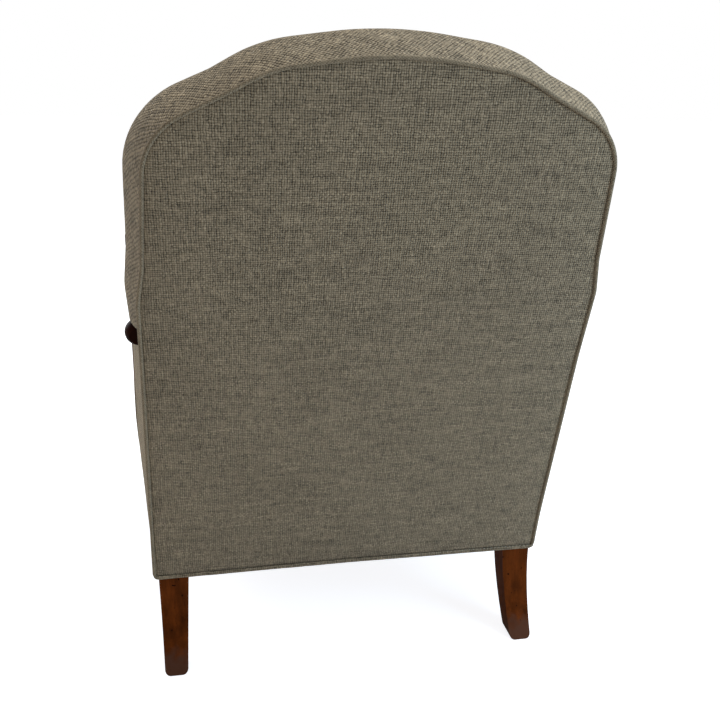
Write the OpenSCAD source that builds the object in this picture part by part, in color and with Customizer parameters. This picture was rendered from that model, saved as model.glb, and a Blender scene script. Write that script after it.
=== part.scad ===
// Upholstered armchair with a boxed camel back, show wood arms and a loose seat cushion.
// The chair faces -Y, and the left of its sitter is +X.
// The origin is on the floor, under the middle of the chair's bounding box.

/* [Seat and covers] */
// Width between the pipings at the bottom of the back
rear_w = 640; // [600:2:680]
// Width over the covers at the front of the seat
front_w = 742; // [700:2:780]
// Depth from the bottom edge of the back to the front of the seat
seat_d = 576; // [550:2:610]
// Height of the covers' bottom edge above the floor
clear_h = 158; // [140:1:180]
// Height of the front border above the covers' bottom edge
border_h = 144; // [140:1:156]
// Thickness of a cover with the wadding under it
cover_t = 2.5; // [2:0.1:3]
// Thickness of the piping cord in its cover
piping_d = 8; // [7:0.1:11]
// How far the middle of the rear piping stands outside the side covers
piping_out = 1.5; // [1:0.1:2]
// Radius of the front border's upright corners
border_corner_r = 15; // [12:1:16]
// Length of side that the front border covers behind each front corner
border_wrap = 36; // [30:1:40]

/* [Back] */
// Length of the outside back, measured up its slope
back_len = 827; // [800:1:860]
// Lean of the back from upright, in degrees
back_rake = 16.6; // [15:0.1:18]
// Half width at the bump of the piping above the arms
bump_half = 310.5; // [308:0.5:316]
// Half width between the bump and the shoulders
neck_half = 302; // [298:1:306]
// Half width at the shoulders
shoulder_half = 291; // [286:1:298]
// Drop from the top of the back to the shoulders' corners
shoulder_drop = 93; // [85:1:102]
// Half width at the dip between shoulder and hump
dip_half = 198; // [190:1:206]
// Drop from the top of the back to the dip
dip_drop = 46; // [42:1:50]
// Half width at the hump's corners
hump_half = 146; // [138:1:154]
// Drop from the top of the back to the hump's corners
hump_drop = 17; // [14:0.5:20]
// Depth of the boxed border round the back
border_d = 80; // [74:1:88]
// How far the border widens on each side towards its front
border_flare = 17; // [14:1:22]
// How far the border rises towards its front
border_rise = 6; // [4:1:12]
// Crown of the inside back above the front piping
back_crown = 38; // [26:1:42]
// Height of the inside back's lower edge above the covers' bottom edge, up the slope
pad_low = 118; // [112:1:122]

/* [Arms] */
// Height of the top of the arms above the floor
arm_h = 604; // [590:1:620]
// Height of an arm rail's section
arm_rail_h = 39; // [36:1:42]
// Width of an arm rail, and thickness of the arm's wooden frame with the side cover
arm_wood_t = 36; // [32:1:38]
// Diameter of the round end of each arm rail beside the back
knob_d = 38; // [34:1:39]
// How far the middle of each round end lies outside the side of the rail
knob_proud = 3.5; // [0:0.5:5]
// Length of the arm rails in front of the post, to the middle of the rounded front end
arm_reach = 551; // [545:1:553]
// Depth of an arm support at its foot
stump_foot = 50; // [44:1:52]
// Depth of an arm support at its waist
stump_waist = 36; // [32:1:40]
// How far the waist of an arm support curves back
stump_bend = 12; // [6:1:14]
// How far the arm supports stand proud of the side covers
stump_proud = 0.8; // [0.5:0.1:2]
// Thickness of the stuffing inside each arm
arm_pad_t = 16; // [12:1:20]
// Height of an arm tack rail
tack_rail_h = 30; // [24:1:34]
// Thickness of an arm tack rail
tack_rail_t = 25; // [20:1:30]
// Height of an arm tack rail's lower edge above the seat rails
tack_rail_up = 78; // [76:1:90]

/* [Legs] */
// Width and depth of the back legs under the seat
leg_top = 48; // [44:1:50]
// Width and depth of the back legs' feet
leg_foot = 37; // [32:1:40]
// How far the back feet curve out behind the back
leg_sweep = 52; // [40:1:60]
// Distance of the back legs' outer faces from the pipings
leg_inset = 6; // [5:0.5:8]
// Side of the front legs' blocks
front_leg_top = 48; // [46:1:52]
// Side of the front legs' feet
front_leg_foot = 34; // [30:1:38]
// Radius of the lower corners of all feet, seen from behind
foot_r = 9; // [2:1:12]

/* [Frame] */
// Height of the seat rails
rail_h = 108; // [100:1:114]
// Thickness of the seat rails
rail_t = 30; // [26:1:32]
// Depth of the back posts and the top rail
post_d = 46; // [42:1:47]
// Width of the back posts at their top
post_top_w = 42; // [38:1:46]
// Drop from the top of the back to the tops of the back posts, down the slope
post_drop = 167; // [157:1:182]
// Thickness of the lower back rail
low_rail_t = 28; // [24:1:32]
// Height of the lower back rail
low_rail_h = 50; // [44:1:56]
// Thickness of the wadding between front rail and front border
border_wadding = 5.5; // [4:0.5:7]
// Thickness of the corner blocks
block_t = 30; // [24:1:36]
// Reach of the corner blocks along the rails
block_reach = 72; // [66:1:76]
// Diameter of the dowels
dowel_d = 10; // [8:0.5:11]
// Length of the dowels
dowel_len = 50; // [44:1:52]
// Shank diameter of the corner block screws
screw_d = 5; // [4:0.5:6]
// Head diameter of the corner block screws
screw_head_d = 9; // [8:0.5:10]
// Length of the corner block screws
screw_len = 42; // [38:1:44]

/* [Springing] */
// Width of a webbing strip
web_w = 50; // [45:1:55]
// Thickness of a webbing strip
web_t = 1.6; // [1.2:0.1:2]
// Spacing of the seat webbing from side to side
web_step_x = 85; // [78:1:90]
// Spacing of the seat webbing from front to back
web_step_y = 70; // [65:1:76]
// Distance of the middle cross strip in front of the back's bottom edge
web_middle = 290; // [280:1:300]
// Radius of a coil spring at its ends
spring_end_r = 40; // [34:1:44]
// Radius of a coil spring at its waist
spring_waist_r = 27; // [22:1:30]
// Turns of a coil spring
spring_turns = 4; // [3:1:5]
// Thickness of the spring wire
wire_d = 3.8; // [3:0.1:4.4]
// Thickness of the hessian
hessian_t = 1; // [0.8:0.1:1.4]
// Thickness of the platform cloth
deck_t = 1.8; // [1.4:0.1:2.2]
// Thickness of the dust cover
dust_t = 0.8; // [0.6:0.1:1]
// Diameter of the tack heads
tack_d = 9; // [7:0.5:11]
// Thickness of the tack heads
tack_t = 1.2; // [0.9:0.1:1.4]
// Spacing of the tack heads
tack_step = 60; // [50:1:70]

/* [Cushion] */
// Thickness of the seat cushion at its edge
cushion_t = 112; // [100:1:124]
// Crown of the seat cushion's top
cushion_crown = 24; // [16:1:30]
// How far the cushion's edges are drawn in half way along
cushion_draw = 6; // [3:0.5:8]
// Radius of the cushion's corners
cushion_r = 34; // [28:1:40]
// Thickness of the cushion's cover
cushion_cover_t = 2; // [1.5:0.1:2.5]

/* [Hidden] */
// Clearance between neighbours that only rest on each other
gap = 0.3;
// Air between wide flat faces that touch
touch = 0.02;
// Clearance round the dowels and screws
bore_gap = 0.05;
// Segments in each rounded corner of an outline
arc_steps = 6;
// Sides of a piping cord
cord_sides = 6;
// Height of the tack heads above the covers' bottom edge
tack_rise = 0.8;
// Size of the blocks that cut other pieces away
big = 1500;

piping_r = piping_d / 2;
edge_gap = piping_r + gap;
seam_n = piping_r - 1;
pad_inset = edge_gap + 1;
rear_half = rear_w / 2;
cover_rear_half = rear_half - piping_out;
side_slope = (front_w / 2 - cover_rear_half) / seat_d;
side_angle = atan(side_slope);
rear_reach = back_len * sin(back_rake) + piping_r;
rear_y = (seat_d - rear_reach) / 2;

web_low_z = clear_h + tack_rise + tack_t + dust_t;
dust_z = web_low_z - dust_t;
rail_z = web_low_z + 2 * web_t;
rail_top = rail_z + rail_h;
deck_z = rail_top + hessian_t;
border_top = clear_h + border_h;
deck_cover_z = border_top - deck_t;

post_front_d = leg_top - 1;
deck_back_d = post_front_d + 1;
rail_front_d = seat_d - cover_t - border_wadding;
rail_back_d = rail_front_d - rail_t;
leg_front_in = front_w / 2 - cover_t - front_leg_top - 7;
leg_front_back = rail_front_d - front_leg_top;

arm_s = (arm_h - clear_h) / cos(back_rake);
ear_s = arm_s - 30;
arm_low = arm_h - arm_rail_h;
arm_mid = arm_h - arm_rail_h / 2;
arm_depth = arm_wood_t + hessian_t + arm_pad_t + cover_t;
arm_back_n = border_d + 3;
stump_front_d = arm_reach + arm_rail_h / 2 - 12;
stump_back_d = stump_front_d - stump_foot;
knob_y = (arm_mid - clear_h) * tan(back_rake) - (cover_t + post_d) / cos(back_rake) - knob_d / 2 + 4;
wrap_d = seat_d - border_wrap;
lip_d = stump_front_d + arm_depth * sin(side_angle) + gap;

post_len = back_len - post_drop;
post_n = cover_t + post_d;
post_out_low = rear_half - leg_inset;
post_in_low = post_out_low - leg_top;
post_out_top = shoulder_half - 2;
post_in_top = post_out_top - post_top_w;
low_rail_s = pad_low - 2;
back_web_n = post_n;
back_hessian_n = back_web_n + 2 * web_t;
pad_n = back_hessian_n + hessian_t;
pad_mid_s = 0.55 * back_len;
front_n = border_d - 6;

cushion_back_d = front_n * cos(back_rake) - pad_low * sin(back_rake) + 3;
cushion_front_d = seat_d - 4;
cushion_z = border_top + gap;
cord_low = piping_r + gap;
cord_high = cushion_t - piping_r;
groove = piping_d + gap;

fabric = [0.62, 0.60, 0.53];
fabric_side = [0.70, 0.68, 0.62];
show_wood = [0.30, 0.12, 0.05];
leg_wood = [0.42, 0.16, 0.06];
frame_wood = [0.78, 0.62, 0.42];
jute = [0.72, 0.60, 0.40];
wadding = [0.92, 0.90, 0.84];
steel = [0.55, 0.55, 0.57];

// Moves a piece from the frame whose y is 0 at the bottom edge of the back
module placed() {
    translate([0, rear_y, 0])
        children();
}

// Mirrors a left piece to the right
module right() {
    mirror([1, 0, 0])
        children();
}

// A piece and its mirror image
module both() {
    children();
    right()
        children();
}

// Frame of the outside back: x across, y up the slope, z forwards from its outer face
module on_back(n = 0) {
    translate([0, 0, clear_h])
        rotate([90 - back_rake, 0, 0])
            translate([0, 0, n])
                children();
}

// Frame of the left side: x forwards along the cover, y up from the floor, z inwards
module on_side(n = 0) {
    translate([cover_rear_half, 0, 0])
        rotate([0, 0, side_angle - 90])
            rotate([90, 0, 0])
                translate([0, 0, n])
                    children();
}

// Half width at distance d in front of the back's bottom edge, w inside the side covers' faces
function side_x(d, w = 0) = cover_rear_half + side_slope * d - w / cos(side_angle);

// Half width between the side rails' inner faces at distance d
function rail_in(d) = side_x(d, cover_t + rail_t + touch);

// Distance along the side cover at distance d in front of the back's bottom edge
function along(d) = d / cos(side_angle);

// y of a plane parallel to the outside back, n in front of it, at height z
function raked_y(z, n) = (z - clear_h) * tan(back_rake) - n / cos(back_rake);

function unit(v) = v / norm(v);

function flat(p) = [p.x, p.y];

// Arc that rounds the corner b of the path a, b, c
function corner(a, b, c, r) =
    let (
        u = unit(a - b),
        v = unit(c - b),
        half_angle = acos(u * v) / 2,
        middle = b + unit(u + v) * r / sin(half_angle),
        first = b + u * r / tan(half_angle) - middle,
        last = b + v * r / tan(half_angle) - middle,
        start = atan2(first.y, first.x),
        turn = (atan2(last.y, last.x) - start + 540) % 360 - 180
    )
    [for (i = [0:arc_steps])
        middle + r * [cos(start + turn * i / arc_steps), sin(start + turn * i / arc_steps)]];

// Path through knots [x, y, corner radius], where a radius of 0 keeps a sharp point
function rounded(knots) =
    [for (i = [0:len(knots) - 1])
        each knots[i].z == 0
            ? [flat(knots[i])]
            : corner(flat(knots[i - 1]), flat(knots[i]), flat(knots[i + 1]), knots[i].z)];

// Path through knots that closes on itself
function rounded_loop(knots) =
    let (n = len(knots))
    [for (i = [0:n - 1])
        each knots[i].z == 0
            ? [flat(knots[i])]
            : corner(flat(knots[(i + n - 1) % n]), flat(knots[i]), flat(knots[(i + 1) % n]), knots[i].z)];

// Outline through knots up to the top one, and down again through their mirror images
function both_sides(half, top) =
    rounded(concat(half, [top], [for (i = [len(half) - 1:-1:0]) [-half[i].x, half[i].y, half[i].z]]));

// Knots of the back's outline above the arms: t is 0 at the rear piping and 1 at the front one
function back_knots(t) = [
    [bump_half + (border_flare - 1) * t, arm_s + 43 - 10 * t, 50 + 50 * t],
    [neck_half + (border_flare + 1) * t, arm_s + 95, 80],
    [shoulder_half + (border_flare + 6) * t, back_len - shoulder_drop, 88 + 30 * t],
    [dip_half + 12 * t, back_len - dip_drop + t, 90],
    [hump_half + 7 * t, back_len - hump_drop + border_rise * t, 160 + 35 * t]
];

// Knot above the middle of the back
function top_knot(t) = [0, back_len + 5 + border_rise * t, 500];

// Outline of the border's section at t, with its foot hidden below the arm rails
function ear_outline(t) =
    both_sides(concat([[bump_half + 1.5 + 10 * t, ear_s, 0]], back_knots(t)), top_knot(t));

// Outline of the whole outside back
function rear_outline() = both_sides(concat([[rear_half, 0, 0]], back_knots(0)), top_knot(0));

// Outline of the inside back at t, before the space of the arms is cut away
function pad_outline(t) =
    let (foot = bump_half + 1.5 + 10 * t)
    both_sides(concat([[foot, pad_low, 0], [foot, ear_s, 0]], back_knots(t)), top_knot(t));

// A point of the back's outline, drawn in by i
function inset(p, i) = [p.x * (1 - i / rear_half), p.y * (1 - i / back_len)];

// Outline of the seat at inset i between distances d0 and d1
function seat_plan(i, d0, d1) = [
    [side_x(d0, i), -d0], [-side_x(d0, i), -d0], [-side_x(d1, i), -d1], [side_x(d1, i), -d1]
];

// Plan of the front border and what lies behind it, drawn in by i, back to the distance d
function border_plan(i, d = wrap_d) =
    let (r = border_corner_r - i)
    rounded([
        [side_x(d, i), -d, 0],
        [side_x(seat_d - i, i), -seat_d + i, r],
        [-side_x(seat_d - i, i), -seat_d + i, r],
        [-side_x(d, i), -d, 0]
    ]);

// Mean of the points of a ring
function middle(ring) = [for (p = ring) 1] * ring / len(ring);

// Solid whose skin runs through rings of points, anticlockwise as seen from the last one
module skin(rings, closed = false) {
    m = len(rings[0]);
    n = len(rings);
    sides = [
        for (j = [0:closed ? n - 1 : n - 2])
            for (i = [0:m - 1])
                let (
                    next = (i + 1) % m,
                    low = j * m,
                    high = (j + 1) % n * m
                )
                each [[low + i, high + i, high + next], [low + i, high + next, low + next]]
    ];
    ends = closed ? [] : [
        for (i = [0:m - 1])
            let (
                next = (i + 1) % m,
                last = (n - 1) * m
            )
            each [[n * m, i, next], [n * m + 1, last + next, last + i]]
    ];
    end_points = closed ? [] : [middle(rings[0]), middle(rings[n - 1])];
    polyhedron(concat([for (ring = rings) each ring], end_points), concat(sides, ends));
}

// Round cord of radius r along a flat path at height z
module cord(path, r, z, closed = false) {
    m = len(path);
    skin([
        for (i = [0:m - 1])
            let (
                before = path[closed ? (i + m - 1) % m : max(i - 1, 0)],
                after = path[closed ? (i + 1) % m : min(i + 1, m - 1)],
                ahead = unit(after - before)
            )
            [for (k = [0:cord_sides - 1])
                let (a = 360 * (k + 0.5) / cord_sides)
                [path[i].x - r * cos(a) * ahead.y, path[i].y + r * cos(a) * ahead.x, z + r * sin(a)]]
    ], closed);
}

module rounded_square(w, h, r) {
    for (x = [r, w - r], y = [r, h - r])
        translate([x, y])
            circle(r, $fn = 48);
    translate([r, 0])
        square([w - 2 * r, h]);
    translate([0, r])
        square([w, h - 2 * r]);
}

// Everything that lies behind the plane n in front of the outside back
module behind(n) {
    on_back()
        translate([-big, -big, -big])
            cube([2 * big, 2 * big, big + n]);
}

// Everything below height z
module below(z) {
    translate([-big, -big, z - 2 * big])
        cube([2 * big, 2 * big, 2 * big]);
}

// Half width of the back posts' inner faces at height z
function post_in(z) =
    post_in_low + (post_in_top - post_in_low) * (z - clear_h) / (post_len * cos(back_rake));

// Side view [y, z] of the point s up the slope and n in front of the outside back
function on_slope(s, n) = [
    s * sin(back_rake) - n * cos(back_rake),
    clear_h + s * cos(back_rake) + n * sin(back_rake)
];

// Side view of a back leg and its post
module back_leg_profile() {
    curve_steps = 8;
    foot_front = leg_sweep - leg_foot;
    post_foot_z = rail_top + 12;
    polygon(concat(
        [for (i = [0:curve_steps])
            let (f = i / curve_steps)
            [leg_sweep * pow(1 - f, 2) + raked_y(clear_h, cover_t + touch) * f, clear_h * f]],
        [
            on_slope(post_len - touch, cover_t + touch),
            on_slope(post_len - touch, post_n),
            [raked_y(post_foot_z, post_n), post_foot_z],
            [-post_front_d, rail_top],
            [-post_front_d, clear_h]
        ],
        [for (i = [curve_steps - 1:-1:0])
            let (f = i / curve_steps)
            [foot_front * pow(1 - f, 2) - post_front_d * (1 - pow(1 - f, 2)), clear_h * f]]
    ));
}

// Lower edge of a foot from x0 to x1, with rounded corners
function foot_edge(x0, x1) =
    let (steps = 6)
    concat(
        [for (i = [0:steps])
            let (a = 180 + 90 * i / steps)
            [x0 + foot_r * (1 + cos(a)), foot_r * (1 + sin(a))]],
        [for (i = [0:steps])
            let (a = 270 + 90 * i / steps)
            [x1 - foot_r * (1 - cos(a)), foot_r * (1 + sin(a))]]
    );

module back_leg_wood() {
    foot_mid = (post_out_low + post_in_low) / 2 + 1.5;
    top_z = clear_h + post_len * cos(back_rake);
    intersection() {
        rotate([90, 0, 90])
            linear_extrude(rear_w)
                back_leg_profile();
        rotate([90, 0, 0])
            translate([0, 0, -big / 2])
                linear_extrude(big)
                    polygon(concat(foot_edge(foot_mid - leg_foot / 2, foot_mid + leg_foot / 2), [
                        [post_out_low, clear_h],
                        [post_out_low - side_slope * raked_y(arm_h, 0), arm_h],
                        [post_out_top, top_z],
                        [post_out_top, top_z + 2 * post_n],
                        [post_in_top, top_z + 2 * post_n],
                        [post_in_top, top_z],
                        [post_in_low, clear_h]
                    ]));
    }
}

module back_leg() {
    color(leg_wood)
        difference() {
            back_leg_wood();
            dowels(bore_gap);
        }
}

// The leg tapers below the covers, and its block fills the corner between the rails
module front_leg() {
    low_in = leg_front_in + (front_leg_top - front_leg_foot) / 2;
    low_back = leg_front_back + (front_leg_top - front_leg_foot) / 2;
    color(leg_wood)
        difference() {
            intersection() {
                rotate([90, 0, 0])
                    linear_extrude(seat_d)
                        polygon(concat(foot_edge(low_in, low_in + front_leg_foot), [
                            [leg_front_in + front_leg_top, clear_h], [front_w, clear_h],
                            [front_w, rail_top], [leg_front_in, rail_top], [leg_front_in, clear_h]
                        ]));
                rotate([90, 0, 90])
                    linear_extrude(front_w)
                        polygon([
                            [-low_back, 0], [-low_back - front_leg_foot, 0],
                            [-rail_front_d, clear_h], [-rail_front_d, rail_top],
                            [-leg_front_back, rail_top], [-leg_front_back, clear_h]
                        ]);
                linear_extrude(rail_top)
                    polygon(border_plan(cover_t, leg_front_back));
            }
            dowels(bore_gap);
        }
}

module front_seat_rail() {
    color(frame_wood)
        difference() {
            translate([-leg_front_in, -rail_front_d, rail_z])
                cube([2 * leg_front_in, rail_t, rail_h]);
            both() {
                dowels(bore_gap);
                block_screws(bore_gap);
            }
        }
}

module back_seat_rail_wood() {
    difference() {
        intersection() {
            on_back(cover_t)
                translate([-rear_half, 0, 0])
                    cube([rear_w, 2 * rail_h, rail_t]);
            translate([-rear_half, -big, rail_z])
                cube([rear_w, 2 * big, rail_h]);
        }
        both()
            beside_post();
    }
}

// Everything outside the inner face of the left back post
module beside_post() {
    top_z = clear_h + post_len * cos(back_rake);
    rotate([90, 0, 0])
        translate([0, 0, -big / 2])
            linear_extrude(big)
                polygon([
                    [post_in(0), 0], [rear_w, 0], [rear_w, top_z], [post_in(top_z), top_z]
                ]);
}

module back_seat_rail() {
    color(frame_wood)
        difference() {
            back_seat_rail_wood();
            both() {
                dowels(bore_gap);
                block_screws(bore_gap);
            }
        }
}

module side_seat_rail() {
    color(frame_wood)
        difference() {
            intersection() {
                on_side(cover_t)
                    translate([0, rail_z, 0])
                        cube([seat_d, rail_h, rail_t]);
                translate([0, -leg_front_back, 0])
                    cube([front_w, leg_front_back - post_front_d, rail_top]);
            }
            dowels(bore_gap);
            block_screws(bore_gap);
        }
}

module corner_blocks() {
    block_z = rail_z + rail_h / 2 - block_t / 2;
    front_end = leg_front_back - block_reach;
    back_end = post_front_d + block_reach;
    post_x = post_in(block_z + block_t) - gap;
    color(frame_wood)
        both()
            difference() {
                translate([0, 0, block_z])
                    linear_extrude(block_t) {
                        polygon([
                            [leg_front_in - block_reach, -rail_back_d],
                            [leg_front_in, -rail_back_d],
                            [leg_front_in, -leg_front_back],
                            [rail_in(leg_front_back), -leg_front_back],
                            [rail_in(front_end), -front_end]
                        ]);
                        polygon([
                            [post_x - block_reach, rail_t],
                            [post_x, rail_t],
                            [post_x, -post_front_d],
                            [rail_in(post_front_d), -post_front_d],
                            [rail_in(back_end), -back_end]
                        ]);
                    }
                behind(cover_t + rail_t);
                block_screws(bore_gap, counterbore = block_reach);
            }
}

// A screw stands on its tip, with its head up
module screw(extra, counterbore) {
    head_t = 3;
    cylinder(d = screw_d + 2 * extra, h = screw_len, $fn = 32);
    translate([0, 0, screw_len - head_t])
        cylinder(d = screw_head_d + 2 * extra, h = head_t + counterbore, $fn = 32);
}

// The four left corner block screws, each through its block into a rail
module block_screws(extra = 0, counterbore = 0) {
    mid_z = rail_z + rail_h / 2;
    bite = 16;
    translate([leg_front_in - block_reach / 2, -rail_back_d - bite, mid_z])
        rotate([-90, 0, 0])
            screw(extra, counterbore);
    on_side(cover_t + rail_t - bite)
        translate([along(leg_front_back - block_reach / 2), mid_z, 0])
            screw(extra, counterbore);
    translate([post_in(mid_z) - block_reach / 2, raked_y(mid_z, cover_t + rail_t) + bite, mid_z])
        rotate([90, 0, 0])
            screw(extra, counterbore);
    on_side(cover_t + rail_t - bite)
        translate([along(post_front_d + block_reach / 2), mid_z, 0])
            screw(extra, counterbore);
}

module corner_block_screws() {
    color(steel)
        both()
            block_screws();
}

// A dowel with its middle at the origin, along z
module dowel(extra) {
    cylinder(d = dowel_d + 2 * extra, h = dowel_len + 2 * extra, center = true, $fn = 32);
}

// The dowels of the left half of the frame
module dowels(extra = 0) {
    low = rail_z + rail_h * 0.3;
    high = rail_z + rail_h * 0.7;
    side_n = cover_t + rail_t / 2;
    arm_n = (cover_t + arm_wood_t) / 2;
    for (z = [low, high]) {
        translate([leg_front_in, -(rail_front_d - rail_t / 2), z])
            rotate([0, 90, 0])
                dowel(extra);
        translate([post_in(z), raked_y(z, side_n), z])
            rotate([0, 90, 0])
                dowel(extra);
        for (d = [leg_front_back, post_front_d])
            on_side(side_n)
                translate([along(d), z, 0])
                    rotate([0, 90, 0])
                        dowel(extra);
    }
    for (f = [0, 1])
        on_side(arm_n)
            translate([along(support_mid(f)), f == 0 ? rail_top : arm_low, 0])
                rotate([90, 0, 0])
                    dowel(extra);
    on_side(arm_n)
        translate([along(-raked_y(arm_mid, post_n)), arm_mid, 0])
            rotate([0, 90, 0])
                dowel(extra);
    on_back(post_n - low_rail_t / 2)
        translate([post_in(clear_h + pad_low), low_rail_s + low_rail_h / 2, 0])
            rotate([0, 90, 0])
                dowel(extra);
    on_back(cover_t + post_d / 2)
        translate([(post_out_top + post_in_top) / 2, post_len, 0])
            rotate([90, 0, 0])
                dowel(extra);
}

module frame_dowels() {
    color(frame_wood)
        both()
            dowels();
}

module back_top_rail() {
    color(frame_wood)
        difference() {
            on_back(cover_t)
                linear_extrude(post_d)
                    difference() {
                        polygon([for (p = rear_outline()) inset(p, piping_r + 2)]);
                        translate([-big, -big])
                            square([2 * big, big + post_len]);
                    }
            both()
                dowels(bore_gap);
        }
}

module back_lower_rail() {
    color(frame_wood)
        difference() {
            on_back(post_n - low_rail_t)
                translate([-rear_half, low_rail_s, 0])
                    cube([rear_w, low_rail_h, low_rail_t]);
            both() {
                beside_post();
                dowels(bore_gap);
            }
        }
}

module arm_rail() {
    color(show_wood)
        difference() {
            union() {
                intersection() {
                    on_side()
                        linear_extrude(arm_wood_t) {
                            translate([-big, arm_low])
                                square([big + along(arm_reach), arm_rail_h]);
                            translate([along(arm_reach), arm_mid])
                                circle(d = arm_rail_h, $fn = 64);
                        }
                    on_side()
                        rotate([0, 90, 0])
                            translate([-arm_wood_t, arm_low, -seat_d])
                                linear_extrude(3 * seat_d)
                                    rounded_square(arm_wood_t, arm_rail_h, 11);
                }
                on_side()
                    translate([along(-knob_y), arm_h - knob_d / 2, -knob_proud])
                        sphere(d = knob_d, $fn = 64);
            }
            behind(post_n);
            dowels(bore_gap);
        }
}

// Middle of an arm support at f of its height, bent back in the middle
function support_mid(f) = (stump_front_d + stump_back_d) / 2 - stump_bend * sin(120 * f);

// Depth of an arm support at f of its height, with a waist
function support_depth(f) = stump_foot - (stump_foot - stump_waist) * sin(150 * f);

function support_edge(f, side) = [
    along(support_mid(f) + side * support_depth(f) / 2),
    rail_top + (arm_low - rail_top) * f
];

module arm_support_profile() {
    steps = 10;
    polygon(concat(
        [for (i = [0:steps]) support_edge(i / steps, 1)],
        [for (i = [steps:-1:0]) support_edge(i / steps, -1)]
    ));
}

// The part of an arm support's side view that shows above the front border
module support_face() {
    intersection() {
        arm_support_profile();
        translate([0, border_top + gap])
            square([seat_d, arm_h]);
    }
}

module arm_support() {
    color(show_wood)
        difference() {
            union() {
                on_side(cover_t + touch)
                    linear_extrude(arm_wood_t - cover_t - touch)
                        arm_support_profile();
                on_side(-stump_proud)
                    linear_extrude(arm_wood_t + stump_proud)
                        support_face();
            }
            dowels(bore_gap);
        }
}

module arm_tack_rail() {
    color(frame_wood)
        difference() {
            on_side(arm_wood_t - tack_rail_t)
                translate([-seat_d / 2, rail_top + tack_rail_up, 0])
                    cube([seat_d / 2 + along(stump_back_d - 10), tack_rail_h, tack_rail_t]);
            behind(post_n);
            on_side()
                linear_extrude(2 * arm_wood_t)
                    arm_support_profile();
        }
}

// Steps from the middle strip to each strip of webbing
web_steps = [-2:2];

module seat_webbing_long() {
    color(jute)
        for (i = web_steps)
            translate([i * web_step_x - web_w / 2, -rail_front_d + 4, web_low_z + web_t])
                cube([web_w, rail_front_d - 12, web_t]);
}

module seat_webbing_cross() {
    color(jute)
        for (i = web_steps) {
            d = web_middle + i * web_step_y;
            reach = side_x(d - web_w / 2) - cover_t - 4;
            translate([-reach, -d - web_w / 2, web_low_z])
                cube([2 * reach, web_w, web_t]);
        }
}

// Hourglass coil from the webbing to the hessian
module spring() {
    turn_steps = 9;
    wire_sides = 4;
    wire_r = wire_d / 2;
    steps = spring_turns * turn_steps;
    bottom = rail_z + wire_r + gap / 3;
    rise = rail_top - rail_z - wire_d - 2 * gap / 3;
    skin([
        for (i = [0:steps])
            let (
                f = i / steps,
                a = -360 * spring_turns * f,
                coil_r = spring_waist_r + (spring_end_r - spring_waist_r) * pow(2 * f - 1, 2)
            )
            [for (k = [0:wire_sides - 1])
                let (
                    w = 360 * (k + 0.5) / wire_sides,
                    r = coil_r + wire_r * cos(w)
                )
                [r * cos(a), r * sin(a), bottom + rise * f + wire_r * sin(w)]]
    ]);
}

module seat_springs() {
    color(steel)
        for (x = [-2, 0, 2], y = [-2, 0, 2])
            translate([x * web_step_x, -web_middle - y * web_step_y, 0])
                spring();
}

module seat_hessian() {
    arm_clear = arm_wood_t + 1;
    back_half = post_in(rail_top) - 2;
    outline = [
        [back_half, 20], [back_half, -post_front_d - 3],
        [side_x(post_front_d, arm_clear), -post_front_d - 3],
        [side_x(rail_front_d, arm_clear), -rail_front_d + 2]
    ];
    color(jute)
        translate([0, 0, rail_top])
            linear_extrude(hessian_t)
                polygon(concat(outline, [for (i = [len(outline) - 1:-1:0]) [-outline[i].x, outline[i].y]]));
}

module seat_stuffing() {
    color(wadding)
        translate([0, 0, deck_z])
            linear_extrude(deck_cover_z - deck_z)
                polygon(seat_plan(arm_depth + gap, deck_back_d, lip_d - gap));
}

module seat_platform_cloth() {
    color(fabric)
        translate([0, 0, deck_cover_z])
            linear_extrude(deck_t)
                polygon(seat_plan(arm_depth + gap, deck_back_d, lip_d - gap));
}

module dust_cover() {
    edge = cover_t + 2;
    color([0.12, 0.12, 0.12])
        translate([0, 0, dust_z])
            linear_extrude(dust_t)
                difference() {
                    polygon(seat_plan(edge, edge, rail_front_d));
                    both() {
                        translate([post_in_low - 1, -post_front_d - 1])
                            square([rear_half, leg_top]);
                        translate([leg_front_in - 1, -rail_front_d])
                            square([rear_half, front_leg_top + 1]);
                    }
                }
}

module dust_cover_tacks() {
    margin = 20;
    rows = floor((leg_front_back - post_front_d - 2 * margin) / tack_step);
    columns = floor((post_in_low - margin) / tack_step);
    color(steel)
        translate([0, 0, dust_z - tack_t]) {
            for (i = [0:rows], side = [-1, 1]) {
                d = post_front_d + margin + i * tack_step;
                translate([side * (side_x(d) - margin), -d, 0])
                    cylinder(d = tack_d, h = tack_t, $fn = 24);
            }
            for (i = [-columns:columns], d = [margin, rail_front_d - margin])
                translate([i * tack_step, -d, 0])
                    cylinder(d = tack_d, h = tack_t, $fn = 24);
        }
}

module back_webbing_upright() {
    lap = 30;
    low_end = low_rail_s + 5;
    step = 0.45 * post_in_top;
    color(jute)
        on_back(back_web_n)
            for (x = [-1.5:1.5])
                translate([x * step - web_w / 2, low_end, 0])
                    cube([web_w, post_len + lap - low_end, web_t]);
}

module back_webbing_cross() {
    reach = post_in_top + 8;
    color(jute)
        on_back(back_web_n + web_t)
            for (f = [0.3, 0.45, 0.75, 0.9])
                translate([-reach, f * post_len - web_w / 2, 0])
                    cube([2 * reach, web_w, web_t]);
}

module back_hessian() {
    edge = 14;
    color(jute)
        difference() {
            on_back(back_hessian_n)
                linear_extrude(hessian_t)
                    polygon([for (p = pad_outline(0.3)) inset(p, edge)]);
            ear_cut(edge);
        }
}

// Half width of the inside back between the arms at height z
function pad_side(z) = side_x(-raked_y(z, arm_back_n), arm_depth + 1);

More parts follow.
